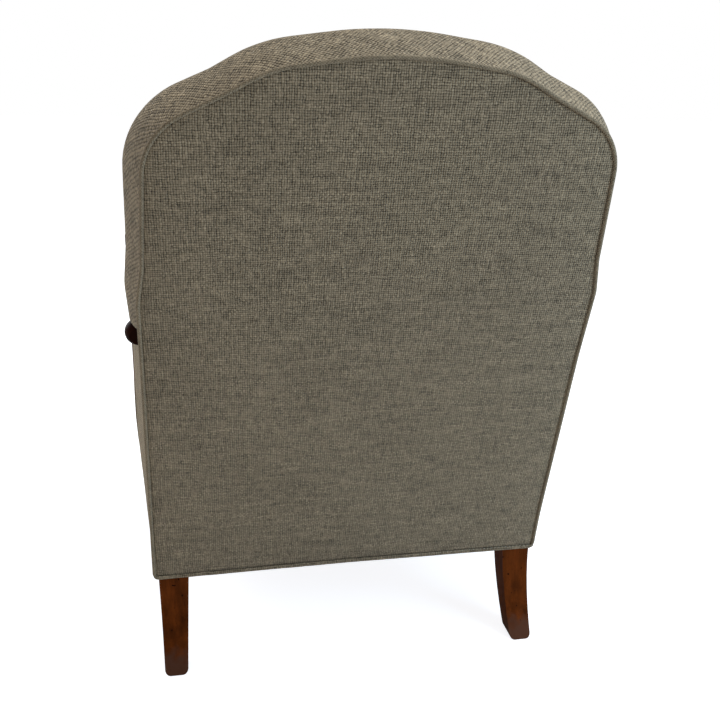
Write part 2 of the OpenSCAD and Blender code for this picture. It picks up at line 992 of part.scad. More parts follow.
// Space of the arms and of the border's foot, beside an inside back that is drawn in by i
module ear_cut(i) {
    e = i - pad_inset;
    top = arm_h + cover_t + 2 * gap + e;
    both()
        rotate([90, 0, 0])
            translate([0, 0, -big])
                linear_extrude(2 * big)
                    polygon([[pad_side(0) - e, 0], [big, 0], [big, top], [pad_side(top) - e, top]]);
}

// Ring of the inside back at height n, drawn in by i and shrunk to q of its size
function pad_ring(i, q, n) =
    [for (p = pad_outline(min(n / border_d, 1)))
        let (e = inset(p, i))
        [e.x * q, pad_mid_s + (e.y - pad_mid_s) * q, n]];

// Form of the inside back: straight sides from n0 to n1, and a crown above them
module pad_form(i, n0, n1) {
    difference() {
        on_back()
            skin(concat(
                [pad_ring(i, 1, n0), pad_ring(i, 1, n1)],
                [for (q = [0.98, 0.92, 0.8, 0.6, 0.3])
                    pad_ring(i, q, n1 + back_crown * (1 - pow(q, 2.5)))]
            ));
        ear_cut(i);
    }
}

module back_stuffing() {
    color(wadding)
        pad_form(pad_inset + cover_t + 2 * gap, pad_n, front_n - cover_t - gap);
}

module inside_back_cover() {
    color(fabric)
        difference() {
            pad_form(pad_inset, front_n - 10, front_n);
            pad_form(pad_inset + cover_t, front_n - 20, front_n - cover_t);
        }
}

module outside_back_cover() {
    color(fabric)
        on_back()
            linear_extrude(cover_t)
                polygon([for (p = rear_outline()) inset(p, edge_gap)]);
}

// Section of the border between heights n0 and n1, drawn in by i
module border_section(i, n0, n1) {
    skin([
        for (n = [n0, n1])
            [for (p = ear_outline(n / border_d))
                let (e = inset(p, i))
                [e.x, e.y, n]]
    ]);
}

// The border stands on the arm rails, where its ends are turned in
module back_border() {
    turned_in = bump_half - 5;
    color(fabric_side)
        difference() {
            on_back()
                border_section(piping_out, edge_gap, border_d - seam_n);
            difference() {
                on_back()
                    border_section(piping_out + cover_t, 0, border_d);
                both()
                    translate([turned_in, -big, arm_h + gap + cover_t - big])
                        cube([big, 2 * big, big]);
            }
            below(arm_h + gap);
        }
}

module rear_piping() {
    color(fabric_side)
        on_back()
            cord(rear_outline(), piping_r, 0);
}

module front_piping() {
    color(fabric_side)
        difference() {
            on_back()
                cord(ear_outline(1), piping_r, border_d);
            below(arm_h + gap);
        }
}

// Side cover, with room for the arm rail's knob and the front border
module side_cover() {
    knob_back = along(-knob_y) - knob_d / 2 - 1;
    color(fabric_side)
        on_side()
            linear_extrude(cover_t)
                difference() {
                    polygon([
                        [along(-raked_y(clear_h, edge_gap)), clear_h],
                        [along(wrap_d) - gap, clear_h],
                        [along(wrap_d) - gap, border_top],
                        [along(stump_back_d + 4), border_top],
                        [along(stump_back_d + 4), arm_low - gap],
                        [knob_back, arm_low - gap],
                        [knob_back, arm_h - gap],
                        [along(-raked_y(arm_h, edge_gap)), arm_h - gap]
                    ]);
                    offset(delta = touch)
                        support_face();
                }
}

module arm_hessian() {
    color(jute)
        difference() {
            on_side(arm_wood_t)
                translate([-seat_d / 2, deck_z + 60, 0])
                    cube([seat_d / 2 + along(stump_front_d - 4), arm_h - 12 - deck_z - 60, hessian_t]);
            behind(arm_back_n);
        }
}

// Section of the inside arm, t thick, with a round top edge
module arm_section(t, top) {
    round_r = 12;
    bottom = deck_z + gap;
    translate([arm_wood_t + hessian_t, bottom])
        intersection() {
            square([t, top - bottom]);
            union() {
                square([t - round_r, top - bottom]);
                square([t, top - bottom - round_r]);
                translate([t - round_r, top - bottom - round_r])
                    circle(round_r, $fn = 48);
            }
        }
}

// Length of the arm with the given section, from the back to the distance d
module arm_length(d) {
    difference() {
        on_side()
            mirror([0, 0, 1])
                rotate([0, 90, 0])
                    translate([0, 0, -seat_d / 2])
                        linear_extrude(seat_d / 2 + along(d))
                            children();
        behind(arm_back_n);
    }
}

module arm_stuffing() {
    color(wadding)
        arm_length(stump_front_d - cover_t - gap)
            arm_section(arm_pad_t - gap, arm_h - 8 - cover_t - gap);
}

// Cover over the inside, top and front of the arm's stuffing
module inside_arm_cover() {
    outer_t = arm_pad_t + cover_t;
    top = arm_h - 8;
    color(fabric) {
        arm_length(stump_front_d)
            difference() {
                arm_section(outer_t, top);
                arm_section(arm_pad_t, top - cover_t);
            }
        intersection() {
            arm_length(stump_front_d)
                arm_section(outer_t, top);
            on_side()
                translate([along(stump_front_d - cover_t), 0, 0])
                    cube([cover_t, arm_h, big]);
        }
    }
}

// Part of the front border's plan from the distance d forwards, drawn in by i
module border_front(i, d) {
    intersection() {
        polygon(border_plan(i));
        translate([-front_w / 2, -seat_d])
            square([front_w, seat_d - d]);
    }
}

module front_border_wadding() {
    color(wadding) {
        translate([0, 0, rail_z])
            linear_extrude(deck_z - rail_z)
                border_front(cover_t + gap, rail_front_d + gap);
        translate([0, 0, deck_z])
            linear_extrude(border_top - cover_t - gap - deck_z)
                border_front(cover_t + gap, lip_d);
    }
}

// Cover of the front border, turned round the corners to the sides and over its top edge
module front_border_cover() {
    color(fabric) {
        translate([0, 0, clear_h])
            linear_extrude(border_h)
                difference() {
                    polygon(border_plan(0));
                    polygon(border_plan(cover_t, wrap_d - 1));
                }
        translate([0, 0, border_top - cover_t])
            linear_extrude(cover_t)
                border_front(0, lip_d);
    }
}

// Plan of the seat cushion, drawn in by i
function cushion_plan(i) =
    let (
        back = cushion_back_d + i,
        front = cushion_front_d - i,
        arm_side = arm_depth + 1.5 + i,
        back_half = side_x(cushion_back_d, arm_side),
        front_half = side_x(cushion_front_d, arm_side),
        mid_half = (back_half + front_half) / 2 - cushion_draw,
        r = cushion_r - i
    )
    rounded_loop([
        [0, -back - cushion_draw, 0],
        [-back_half, -back, r],
        [-mid_half, -(back + front) / 2, 0],
        [-front_half, -front, r],
        [0, -front + cushion_draw, 0],
        [front_half, -front, r],
        [mid_half, -(back + front) / 2, 0],
        [back_half, -back, r]
    ]);

// Ring of the cushion at height z, drawn in by i and shrunk to q of its size
function cushion_ring(i, q, z) =
    let (mid = -(cushion_back_d + cushion_front_d) / 2)
    [for (p = cushion_plan(i)) [p.x * q, mid + (p.y - mid) * q, cushion_z + z]];

// Form of the cushion, smaller by t all round, with grooves for its pipings
module cushion_form(t) {
    low = groove + gap + t;
    high = cushion_t - low;
    side = [
        [groove, t], [groove, low], [3.5, low + 3], [0, cushion_t / 2],
        [3.5, high - 3], [groove, high], [groove, cushion_t - t]
    ];
    skin(concat(
        [for (level = side) cushion_ring(level[0] + t, 1, level[1])],
        [for (q = [0.96, 0.86, 0.66, 0.35])
            cushion_ring(groove + t, q, cushion_t - t + cushion_crown * (1 - pow(q, 2.2)))]
    ));
}

module cushion_cover() {
    color(fabric)
        difference() {
            cushion_form(0);
            cushion_form(cushion_cover_t);
        }
}

module cushion_foam() {
    color(wadding)
        cushion_form(cushion_cover_t + gap);
}

module cushion_piping(z) {
    color(fabric_side)
        cord(cushion_plan(piping_r), piping_r, cushion_z + z, closed = true);
}

module cushion_piping_top() {
    cushion_piping(cord_high);
}

module cushion_piping_bottom() {
    cushion_piping(cord_low);
}

placed() back_leg();  // back_leg_left
placed() right() back_leg();  // back_leg_right
placed() front_leg();  // front_leg_left
placed() right() front_leg();  // front_leg_right
placed() front_seat_rail();
placed() back_seat_rail();
placed() side_seat_rail();  // side_seat_rail_left
placed() right() side_seat_rail();  // side_seat_rail_right
placed() corner_blocks();
placed() corner_block_screws();
placed() frame_dowels();
placed() back_top_rail();
placed() back_lower_rail();
placed() arm_rail();  // arm_rail_left
placed() right() arm_rail();  // arm_rail_right
placed() arm_support();  // arm_support_left
placed() right() arm_support();  // arm_support_right
placed() arm_tack_rail();  // arm_tack_rail_left
placed() right() arm_tack_rail();  // arm_tack_rail_right
placed() seat_webbing_long();
placed() seat_webbing_cross();
placed() seat_springs();
placed() seat_hessian();
placed() seat_stuffing();
placed() seat_platform_cloth();
placed() dust_cover();
placed() dust_cover_tacks();
placed() back_webbing_upright();
placed() back_webbing_cross();
placed() back_hessian();
placed() back_stuffing();
placed() inside_back_cover();
placed() outside_back_cover();
placed() back_border();
placed() rear_piping();
placed() front_piping();
placed() side_cover();  // side_cover_left
placed() right() side_cover();  // side_cover_right
placed() arm_hessian();  // arm_hessian_left
placed() right() arm_hessian();  // arm_hessian_right
placed() arm_stuffing();  // arm_stuffing_left
placed() right() arm_stuffing();  // arm_stuffing_right
placed() inside_arm_cover();  // inside_arm_cover_left
placed() right() inside_arm_cover();  // inside_arm_cover_right
placed() front_border_wadding();
placed() front_border_cover();
placed() cushion_cover();
placed() cushion_foam();
placed() cushion_piping_top();
placed() cushion_piping_bottom();
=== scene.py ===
import math

import bmesh
import bpy
import numpy as np
from mathutils import Matrix, Vector, noise


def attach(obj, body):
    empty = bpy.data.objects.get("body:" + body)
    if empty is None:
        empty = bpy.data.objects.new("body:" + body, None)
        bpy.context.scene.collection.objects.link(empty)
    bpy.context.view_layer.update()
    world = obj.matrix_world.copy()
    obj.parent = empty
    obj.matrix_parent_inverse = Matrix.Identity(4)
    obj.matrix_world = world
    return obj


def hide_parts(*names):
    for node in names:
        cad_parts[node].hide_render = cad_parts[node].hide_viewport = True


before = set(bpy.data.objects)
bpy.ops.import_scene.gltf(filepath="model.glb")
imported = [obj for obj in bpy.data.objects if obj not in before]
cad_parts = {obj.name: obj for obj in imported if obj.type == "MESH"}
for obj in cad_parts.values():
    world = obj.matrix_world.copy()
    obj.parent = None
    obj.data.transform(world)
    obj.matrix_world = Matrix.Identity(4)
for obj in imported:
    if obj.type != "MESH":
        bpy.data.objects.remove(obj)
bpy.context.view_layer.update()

# Driving sizes of the chair in millimetres, and its rake in radians, as in the CAD source
REAR_W = 640
FRONT_W = 742
SEAT_D = 576
CLEAR_H = 158
BORDER_H = 144
COVER_T = 2.5
PIPING_D = 8
PIPING_OUT = 1.5
BORDER_CORNER_R = 15
BORDER_WRAP = 36
BACK_LEN = 827
BACK_RAKE = math.radians(16.6)
BUMP_HALF = 310.5
NECK_HALF = 302
SHOULDER_HALF = 291
SHOULDER_DROP = 93
DIP_HALF = 198
DIP_DROP = 46
HUMP_HALF = 146
HUMP_DROP = 17
BORDER_D = 80
BORDER_FLARE = 17
BORDER_RISE = 6
BACK_CROWN = 38
PAD_LOW = 118
ARM_H = 604
ARM_RAIL_H = 39
ARM_WOOD_T = 36
KNOB_D = 38
ARM_REACH = 551
STUMP_FOOT = 50
ARM_PAD_T = 16
LEG_TOP = 48
LEG_INSET = 6
FRONT_LEG_TOP = 48
RAIL_H = 108
POST_D = 46
POST_DROP = 167
POST_TOP_W = 42
BORDER_WADDING = 5.5
WEB_W = 50
WEB_T = 1.6
WEB_STEP_X = 85
WEB_STEP_Y = 70
WEB_MIDDLE = 290
HESSIAN_T = 1
DECK_T = 1.8
DUST_T = 0.8
TACK_T = 1.2
TACK_RISE = 0.8
CUSHION_T = 112
CUSHION_CROWN = 24
CUSHION_DRAW = 6
CUSHION_R = 34
GAP = 0.3

# The covers hide the inner part of the cords, so the pipings look thinner
CORD_SHOWN_R = 2.7
CORD_OUT = 0.3

# The border's cloth is cut at a slant to its threads
BIAS = math.radians(38)

# The turned hem: its height, its drop below the rails at the corners, its rise in the middle
# and its reach past the sides of the back
HEM_H = 8
HEM_DROP = 11
HEM_RISE = 3
HEM_REACH = 1

# Sizes that follow from them
PIPING_R = PIPING_D / 2
EDGE_GAP = PIPING_R + GAP
REAR_HALF = REAR_W / 2
COVER_REAR_HALF = REAR_HALF - PIPING_OUT
SIDE_SLOPE = (FRONT_W / 2 - COVER_REAR_HALF) / SEAT_D
SIDE_ANGLE = math.atan(SIDE_SLOPE)
REAR_Y = (SEAT_D - BACK_LEN * math.sin(BACK_RAKE) - PIPING_R) / 2
WEB_LOW_Z = CLEAR_H + TACK_RISE + TACK_T + DUST_T
RAIL_TOP = WEB_LOW_Z + 2 * WEB_T + RAIL_H
DECK_Z = RAIL_TOP + HESSIAN_T
BORDER_TOP = CLEAR_H + BORDER_H
RAIL_FRONT_D = SEAT_D - COVER_T - BORDER_WADDING
LEG_FRONT_IN = FRONT_W / 2 - COVER_T - FRONT_LEG_TOP - 7
POST_N = COVER_T + POST_D
POST_LEN = BACK_LEN - POST_DROP
POST_IN_LOW = REAR_HALF - LEG_INSET - LEG_TOP
POST_IN_TOP = SHOULDER_HALF - 2 - POST_TOP_W
ARM_S = (ARM_H - CLEAR_H) / math.cos(BACK_RAKE)
EAR_S = ARM_S - 30
ARM_LOW = ARM_H - ARM_RAIL_H
ARM_MID = ARM_H - ARM_RAIL_H / 2
ARM_DEPTH = ARM_WOOD_T + HESSIAN_T + ARM_PAD_T + COVER_T
ARM_BACK_N = BORDER_D + 3
STUMP_FRONT_D = ARM_REACH + ARM_RAIL_H / 2 - 12
STUMP_BACK_D = STUMP_FRONT_D - STUMP_FOOT
KNOB_Y = (
    (ARM_MID - CLEAR_H) * math.tan(BACK_RAKE)
    - POST_N / math.cos(BACK_RAKE) - KNOB_D / 2 + 4
)
WRAP_D = SEAT_D - BORDER_WRAP
LIP_D = STUMP_FRONT_D + ARM_DEPTH * math.sin(SIDE_ANGLE) + GAP
FRONT_N = BORDER_D - 6
PAD_INSET = EDGE_GAP + 1
CUSHION_BACK_D = FRONT_N * math.cos(BACK_RAKE) - PAD_LOW * math.sin(BACK_RAKE) + 3
CUSHION_FRONT_D = SEAT_D - 4
CUSHION_Z = BORDER_TOP + GAP

# Resolution of the outlines and meshes, in millimetres except for the arcs' steps
ARC_STEPS = 14
MESH_STEP = 8
SLICE_STEP = 12
SAMPLE_STEP = 3
CORD_SIDES = 12


# Outlines


def unit(v):
    return v / np.linalg.norm(v)


def corner(a, b, c, r):
    """Arc that rounds the corner b of the path a, b, c."""
    u = unit(a - b)
    v = unit(c - b)
    half = math.acos(np.dot(u, v)) / 2
    middle = b + unit(u + v) * r / math.sin(half)
    first = b + u * r / math.tan(half) - middle
    last = b + v * r / math.tan(half) - middle
    start = math.atan2(first[1], first[0])
    turn = (math.atan2(last[1], last[0]) - start + 3 * math.pi) % (2 * math.pi) - math.pi
    angles = start + turn * np.linspace(0, 1, ARC_STEPS + 1)
    return [middle + r * np.array([math.cos(a), math.sin(a)]) for a in angles]


def rounded(knots, closed=False):
    """Path through knots (x, y, corner radius), where a radius of 0 keeps a sharp point."""
    flat = [np.array(k[:2], float) for k in knots]
    count = len(knots)
    path = []
    for i, knot in enumerate(knots):
        if knot[2] == 0:
            path.append(flat[i])
        else:
            path.extend(corner(flat[i - 1], flat[i], flat[(i + 1) % count], knot[2]))
    if closed:
        path.append(path[0])
    return np.array(path)


def both_sides(half, top):
    """Outline through knots up to the top one, and down again through their mirror images."""
    return rounded(half + [top] + [(-x, y, r) for x, y, r in reversed(half)])


def back_knots(t):
    """Knots of the back above the arms, from the rear piping (0) to the front one (1)."""
    return [
        (BUMP_HALF + (BORDER_FLARE - 1) * t, ARM_S + 43 - 10 * t, 50 + 50 * t),
        (NECK_HALF + (BORDER_FLARE + 1) * t, ARM_S + 95, 80),
        (SHOULDER_HALF + (BORDER_FLARE + 6) * t, BACK_LEN - SHOULDER_DROP, 88 + 30 * t),
        (DIP_HALF + 12 * t, BACK_LEN - DIP_DROP + t, 90),
        (HUMP_HALF + 7 * t, BACK_LEN - HUMP_DROP + BORDER_RISE * t, 160 + 35 * t),
    ]


def top_knot(t):
    return (0, BACK_LEN + 5 + BORDER_RISE * t, 500)


def rear_outline():
    """Rear edge of the back, drawn in a little by its cord, and more so on the right."""
    left_bow, right_bow = 0.5, 3

    def half(bow):
        low = [(REAR_HALF, 0, 0), (REAR_HALF - 1 - bow, 70, 1200), (BUMP_HALF + 2 - bow, 400, 1500)]
        return low + back_knots(0)
    return rounded(half(left_bow) + [top_knot(0)] + [(-x, s, r) for x, s, r in reversed(half(right_bow))])


def ear_outline(t):
    return both_sides([(BUMP_HALF + 1.5 + 10 * t, EAR_S, 0)] + back_knots(t), top_knot(t))


def resample(path, count):
    """The path as count points, evenly spaced along it."""
    steps = np.linalg.norm(np.diff(path, axis=0), axis=1)
    along_path = np.concatenate([[0], np.cumsum(steps)])
    at = np.linspace(0, along_path[-1], count)
    return np.stack([np.interp(at, along_path, path[:, k]) for k in range(path.shape[1])], axis=1)


def length_of(path):
    return np.linalg.norm(np.diff(path, axis=0), axis=1).sum()


def offset_path(path, out):
    """The path moved to its right by out, a number or one number for each point."""
    ahead = np.gradient(path, axis=0)
    ahead /= np.linalg.norm(ahead, axis=1)[:, None]
    return path + np.stack([ahead[:, 1], -ahead[:, 0]], axis=1) * np.reshape(out, (-1, 1))


def soft_distance(points, outline):
    """Distance to the outline, smoothed so that no ridges form between its sides."""
    samples = resample(outline, int(length_of(outline) / SAMPLE_STEP))
    spacing = length_of(outline) / len(samples)
    apart = ((points[:, None] - samples[None]) ** 2).sum(-1) + 1
    return (math.pi / 2 / (spacing / apart ** 2).sum(1)) ** (1 / 3)


def ripple(points, size, seed):
    """Smooth noise between -1 and 1 over points, with lumps of the given size."""
    return np.array([noise.noise(Vector((p[0] / size, p[1] / size, seed))) for p in points])


# Places in the chair's frame


def on_back(points):
    """World places of points (x across, s up the slope, n forwards from the outer back)."""
    x, s, n = np.moveaxis(np.asarray(points, float), -1, 0)
    y = s * math.sin(BACK_RAKE) - n * math.cos(BACK_RAKE)
    z = CLEAR_H + s * math.cos(BACK_RAKE) + n * math.sin(BACK_RAKE)
    return np.stack([x, y, z], -1)


def on_side(points):
    """World places of points (u forwards along the left cover, z up, w inwards)."""
    u, z, w = np.moveaxis(np.asarray(points, float), -1, 0)
    sine, cosine = math.sin(SIDE_ANGLE), math.cos(SIDE_ANGLE)
    return np.stack([COVER_REAR_HALF + u * sine - w * cosine, -u * cosine - w * sine, z], -1)


def side_x(d, w=0):
    """Half width at distance d in front of the back's bottom edge, w inside the side covers."""
    return COVER_REAR_HALF + SIDE_SLOPE * d - w / math.cos(SIDE_ANGLE)


def along(d):
    return d / math.cos(SIDE_ANGLE)


def raked_d(z, n):
    """Distance in front of the back's bottom edge of the plane n at height z."""
    return n / math.cos(BACK_RAKE) - (z - CLEAR_H) * math.tan(BACK_RAKE)


def inset(path, i):
    """The back's outline, drawn in by i."""
    return path * [1 - i / REAR_HALF, 1 - i / BACK_LEN]


def mirrored(places):
    return places * [-1, 1, 1]


# Meshes


def build(name, places, faces, weave, material, away_from=None, body="chair_frame"):
    """A smooth piece from places in millimetres, with the cloth's own metres as its UV map.
    weave holds one (u, v) for each corner of each face. Faces turn away from away_from."""
    mesh = bpy.data.meshes.new(name)
    world = (np.asarray(places, float) + [0, REAR_Y, 0]) / 1000
    mesh.from_pydata(world.tolist(), [], faces)
    layer = mesh.uv_layers.new(name="weave")
    layer.data.foreach_set("uv", (np.concatenate(weave) / 1000).ravel())
    mesh.polygons.foreach_set("use_smooth", [True] * len(faces))
    if away_from is not None:
        middle = (Vector(away_from) + Vector((0, REAR_Y, 0))) / 1000
        outward = sum((p.center - middle).dot(p.normal) * p.area for p in mesh.polygons)
        if outward < 0:
            mesh.flip_normals()
    mesh.materials.append(material)
    mesh.update()
    obj = bpy.data.objects.new(name, mesh)
    bpy.context.scene.collection.objects.link(obj)
    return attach(obj, body)


def quads(rows, columns, wrap=False, base=0):
    """Faces between rows of points, the first of which has the index base."""
    faces = []
    for low in range(base, base + (rows - 1) * columns, columns):
        for i in range(columns if wrap else columns - 1):
            k = (i + 1) % columns
            faces.append([low + i, low + k, low + columns + k, low + columns + i])
    return faces


def cells(weave):
    """The four (u, v) of each face between the rows and columns of weave."""
    rows, columns = weave.shape[:2]
    return [
        weave[[j, j, j + 1, j + 1], [i, i + 1, i + 1, i]]
        for j in range(rows - 1) for i in range(columns - 1)
    ]


def grid(name, places, weave, material, wrap=False, caps=False, **options):
    """A piece from rows of places. wrap joins the last column to the first, and weave then
    has one column more. caps closes the first and last rows."""
    rows, columns = places.shape[:2]
    faces, corners = quads(rows, columns, wrap), cells(weave)
    if caps:
        for j, order in ((0, range(columns - 1, -1, -1)), (rows - 1, range(columns))):
            faces.append([j * columns + i for i in order])
            corners.append(weave[j, list(order)])
    return build(name, places.reshape(-1, 3), faces, corners, material, **options)


def tube(name, path, across, radius, material, closed=False, **options):
    """A round cord of cloth along a path of world places. across is the normal of its plane."""
    if closed:
        ahead = np.roll(path, -1, axis=0) - np.roll(path, 1, axis=0)
    else:
        ahead = np.gradient(path, axis=0)
    ahead /= np.linalg.norm(ahead, axis=1)[:, None]
    out = np.cross(ahead, across)
    angles = np.linspace(0, 2 * math.pi, CORD_SIDES, endpoint=False)
    lumps = 1 + 0.03 * ripple(path, 14, 2.5)
    if not closed:
        lumps[[0, -1]] *= 0.6
    r = radius * lumps[:, None, None]
    rings = path[:, None] + r * (
        np.cos(angles)[None, :, None] * out[:, None] + np.sin(angles)[None, :, None] * np.array(across)
    )
    run = np.concatenate([[0], np.cumsum(np.linalg.norm(np.diff(path, axis=0), axis=1))])
    round_it = np.linspace(0, 2 * math.pi * radius, CORD_SIDES + 1)
    u, v = np.meshgrid(run, round_it, indexing="ij")
    bias = np.stack([u + v, u - v], -1) / math.sqrt(2)
    if closed:
        rings = np.concatenate([rings, rings[:1]])
        bias = np.concatenate([bias, bias[-1:] + PIPING_D])
    return grid(name, rings, bias, material, wrap=True, caps=not closed, **options)


def sliced(outline, step):
    """The inside of a closed outline as points and faces, cut along a square grid."""
    bm = bmesh.new()
    bm.faces.new([bm.verts.new((x, y, 0)) for x, y in outline])
    low, high = outline.min(0), outline.max(0)
    for axis in (0, 1):
        normal = [0, 0, 0]
        normal[axis] = 1
        for at in np.arange(low[axis] + step, high[axis] - step / 3, step):
            place = [0, 0, 0]
            place[axis] = at
            geometry = bm.verts[:] + bm.edges[:] + bm.faces[:]
            bmesh.ops.bisect_plane(bm, geom=geometry, plane_co=place, plane_no=normal, dist=0.01)
    bm.verts.index_update()
    points = np.array([v.co[:2] for v in bm.verts])
    faces = [[v.index for v in f.verts] for f in bm.faces]
    bm.free()
    return points, faces


def panel(name, outline, place, material, **options):
    """A sheet over a closed flat outline. place turns its points into world places."""
    points, faces = sliced(outline, SLICE_STEP)
    corners = [points[f] for f in faces]
    return build(name, place(points), faces, corners, material, **options)


def pillow(name, outline, centre, height, place, material, **options):
    """A padded face: rings shrink from the closed outline to the centre, and height gives
    each point's rise from its smoothed distance to the outline."""
    near_edge = [0, 0.003, 0.006, 0.01, 0.016, 0.03, 0.05, 0.08]
    shares = 1 - np.array([*near_edge, *np.linspace(0.12, 0.94, 22)])
    ring = outline[:-1]
    rings = np.stack([centre + (ring - centre) * share for share in shares])
    flat = rings.reshape(-1, 2)
    rise = height(flat, soft_distance(flat, outline)).reshape(len(shares), -1)
    places = place(np.concatenate([rings, rise[..., None]], -1))
    count = len(ring)
    faces = quads(len(shares), count, wrap=True)
    faces.append(list(range(len(flat) - count, len(flat))))
    corners = [flat[face] for face in faces]
    return build(name, places.reshape(-1, 3), faces, corners, material, **options)


def thicken(obj, thickness, offset=-1):
    """Gives a sheet its thickness, behind its outer face, or about it with an offset of 0."""
    solid = obj.modifiers.new("thickness", "SOLIDIFY")
    solid.thickness = thickness / 1000
    solid.offset = offset


def subdivide(obj):
    smooth = obj.modifiers.new("smooth", "SUBSURF")
    smooth.levels = 1
    smooth.render_levels = 1


# Materials


def add(tree, kind, inputs=None, **settings):
    """A new node with its settings, and with its inputs set or linked by name or number."""
    node = tree.nodes.new(kind)
    for name, value in settings.items():
        setattr(node, name, value)
    for name, value in (inputs or {}).items():
        if isinstance(value, bpy.types.NodeSocket):
            tree.links.new(value, node.inputs[name])
        else:
            node.inputs[name].default_value = value
    return node


def calc(tree, operation, a, b=0.0):
    return add(tree, "ShaderNodeMath", {0: a, 1: b}, operation=operation).outputs[0]


def split(tree, vector):
    return add(tree, "ShaderNodeSeparateXYZ", {0: vector}).outputs


def noise_value(tree, vector, scale, detail=2.0, roughness=0.5):
    inputs = {"Vector": vector, "Scale": scale, "Detail": detail, "Roughness": roughness}
    return add(tree, "ShaderNodeTexNoise", inputs).outputs[0]


def ramp(tree, value, stops):
    """Colours of a value. stops are (position, (r, g, b)) with linear colours."""
    node = add(tree, "ShaderNodeValToRGB", {"Fac": value})
    elements = node.color_ramp.elements
    while len(elements) < len(stops):
        elements.new(0.5)
    for element, (position, colour) in zip(elements, stops):
        element.position = position
        element.color = (*colour, 1)
    return node.outputs[0]


def linear(colour, share=1.0):
    """Linear colour of an sRGB one in 0 to 255, times a share."""
    return tuple(share * ((c / 255 + 0.055) / 1.055) ** 2.4 for c in colour)


def surface(name, **inputs):
    """A new material with its tree and its shader."""
    material = bpy.data.materials.new(name)
    material.use_nodes = True
    tree = material.node_tree
    shader = next(n for n in tree.nodes if n.type == "BSDF_PRINCIPLED")
    for socket, value in inputs.items():
        shader.inputs[socket.replace("_", " ")].default_value = value
    return material, tree, shader


def mix_colours(tree, share, first, second):
    return add(tree, "ShaderNodeMix", {0: share, 6: first, 7: (*second, 1)}, data_type="RGBA").outputs[2]


def bump(tree, shader, height, distance, strength=1.0):
    node = add(tree, "ShaderNodeBump", {"Height": height, "Distance": distance, "Strength": strength})
    tree.links.new(node.outputs[0], shader.inputs["Normal"])


def woven(name, colour, pitch, contrast, relief, gap_shade=0.6):
    """Plain weave of yarns that differ in shade and thickness, in the cloth's own metres.
    contrast is between the yarns, and the last argument is how dark the hollows between them are painted,
    as painted shade."""
    drifts_by, kinks_by = 1.2 * pitch, 0.8 * pitch
    kinks_a_yarn = 0.55
    warp_change, weft_change = 0.2, 0.1
    mean_hollow = 0.4
    material, tree, shader = surface(
        name, Roughness=0.92, Sheen_Weight=0.06, Sheen_Roughness=0.5, Specular_IOR_Level=0.08
    )
    place = add(tree, "ShaderNodeUVMap", uv_map="weave").outputs[0]
    drift = calc(tree, "SUBTRACT", noise_value(tree, place, 22.0), 0.5)
    drift = calc(tree, "MULTIPLY", drift, drifts_by)
    noises = {"Vector": place, "Scale": kinks_a_yarn / pitch, "Detail": 1.0}
    kinks = split(tree, add(tree, "ShaderNodeTexNoise", noises).outputs[1])

    def yarns(at, kink):
        """Number of yarns up to a place, with the yarn's wandering."""
        wander = calc(tree, "ADD", drift, calc(tree, "MULTIPLY", kink, kinks_by))
        return calc(tree, "DIVIDE", calc(tree, "ADD", at, wander), pitch)

    u, v = (yarns(at, kink) for at, kink in zip(split(tree, place)[:2], kinks))
    # Each yarn has its own shade, which changes slowly along it
    warp = yarn_noise(tree, calc(tree, "FLOOR", u), calc(tree, "MULTIPLY", v, warp_change))
    weft = yarn_noise(tree, calc(tree, "MULTIPLY", u, weft_change), calc(tree, "FLOOR", v), 9.0)
    warp_round = calc(tree, "SINE", calc(tree, "MULTIPLY", u, math.pi))
    weft_round = calc(tree, "SINE", calc(tree, "MULTIPLY", v, math.pi))
    over = calc(tree, "GREATER_THAN", calc(tree, "MULTIPLY", warp_round, weft_round), 0.0)
    yarn = add(tree, "ShaderNodeMix", {0: over, 2: weft, 3: warp}).outputs[0]
    warp_gap = yarn_gap(tree, warp_round, u, v, 3.0)
    weft_gap = yarn_gap(tree, weft_round, v, u, 17.0)
    crossing = calc(tree, "MULTIPLY", warp_gap, weft_gap)
    hollow = calc(tree, "ADD", calc(tree, "ADD", warp_gap, weft_gap), crossing)
    mottle = noise_value(tree, place, 9.0, 3.0)
    fibre = noise_value(tree, place, 1500.0)
    # The tone is 0.5 on average: yarns, the painted shade in the hollows between them, fibres and slow
    # patches add to it
    shade = calc(tree, "MULTIPLY_ADD", calc(tree, "SUBTRACT", yarn, 0.5), contrast)
    shade.node.inputs[2].default_value = 0.5
    for value, middle, share in ((hollow, mean_hollow, -gap_shade), (mottle, 0.5, 0.14), (fibre, 0.5, 0.3)):
        part = calc(tree, "MULTIPLY", calc(tree, "SUBTRACT", value, middle), share)
        shade = calc(tree, "ADD", shade, part)
    stops = [(0.0, linear(colour, 0.22)), (0.5, linear(colour)), (1.0, linear(colour, 2.0))]
    tree.links.new(ramp(tree, shade, stops), shader.inputs["Base Color"])
    raised = calc(tree, "SUBTRACT", calc(tree, "MULTIPLY", calc(tree, "ADD", yarn, fibre), 0.5), hollow)
    bump(tree, shader, raised, relief)
    return material


def yarn_noise(tree, x, y, seed=0.0):
    """Noise that changes from yarn to yarn and along them, for places in numbers of yarns."""
    at = add(tree, "ShaderNodeCombineXYZ", {0: x, 1: y, 2: seed}).outputs[0]
    return noise_value(tree, at, 0.83, 1.0)


def yarn_gap(tree, round_it, across, along_it, seed):
    """Hollow between neighbouring yarns, from 0 to 1, which opens and closes along them. It lowers the bump
    and sets the painted shade in the hollow.
    """
    line = calc(tree, "FLOOR", calc(tree, "ADD", across, 0.5))
    opening = yarn_noise(tree, line, calc(tree, "MULTIPLY", along_it, 0.45), seed)
    width = add(tree, "ShaderNodeMapRange", {0: opening, 1: 0.38, 2: 0.66, 3: 0.4, 4: 1.05}).outputs[0]
    depth = calc(tree, "SUBTRACT", 1.0, calc(tree, "POWER", calc(tree, "ABSOLUTE", round_it), 0.7))
    return calc(tree, "MULTIPLY", depth, width)


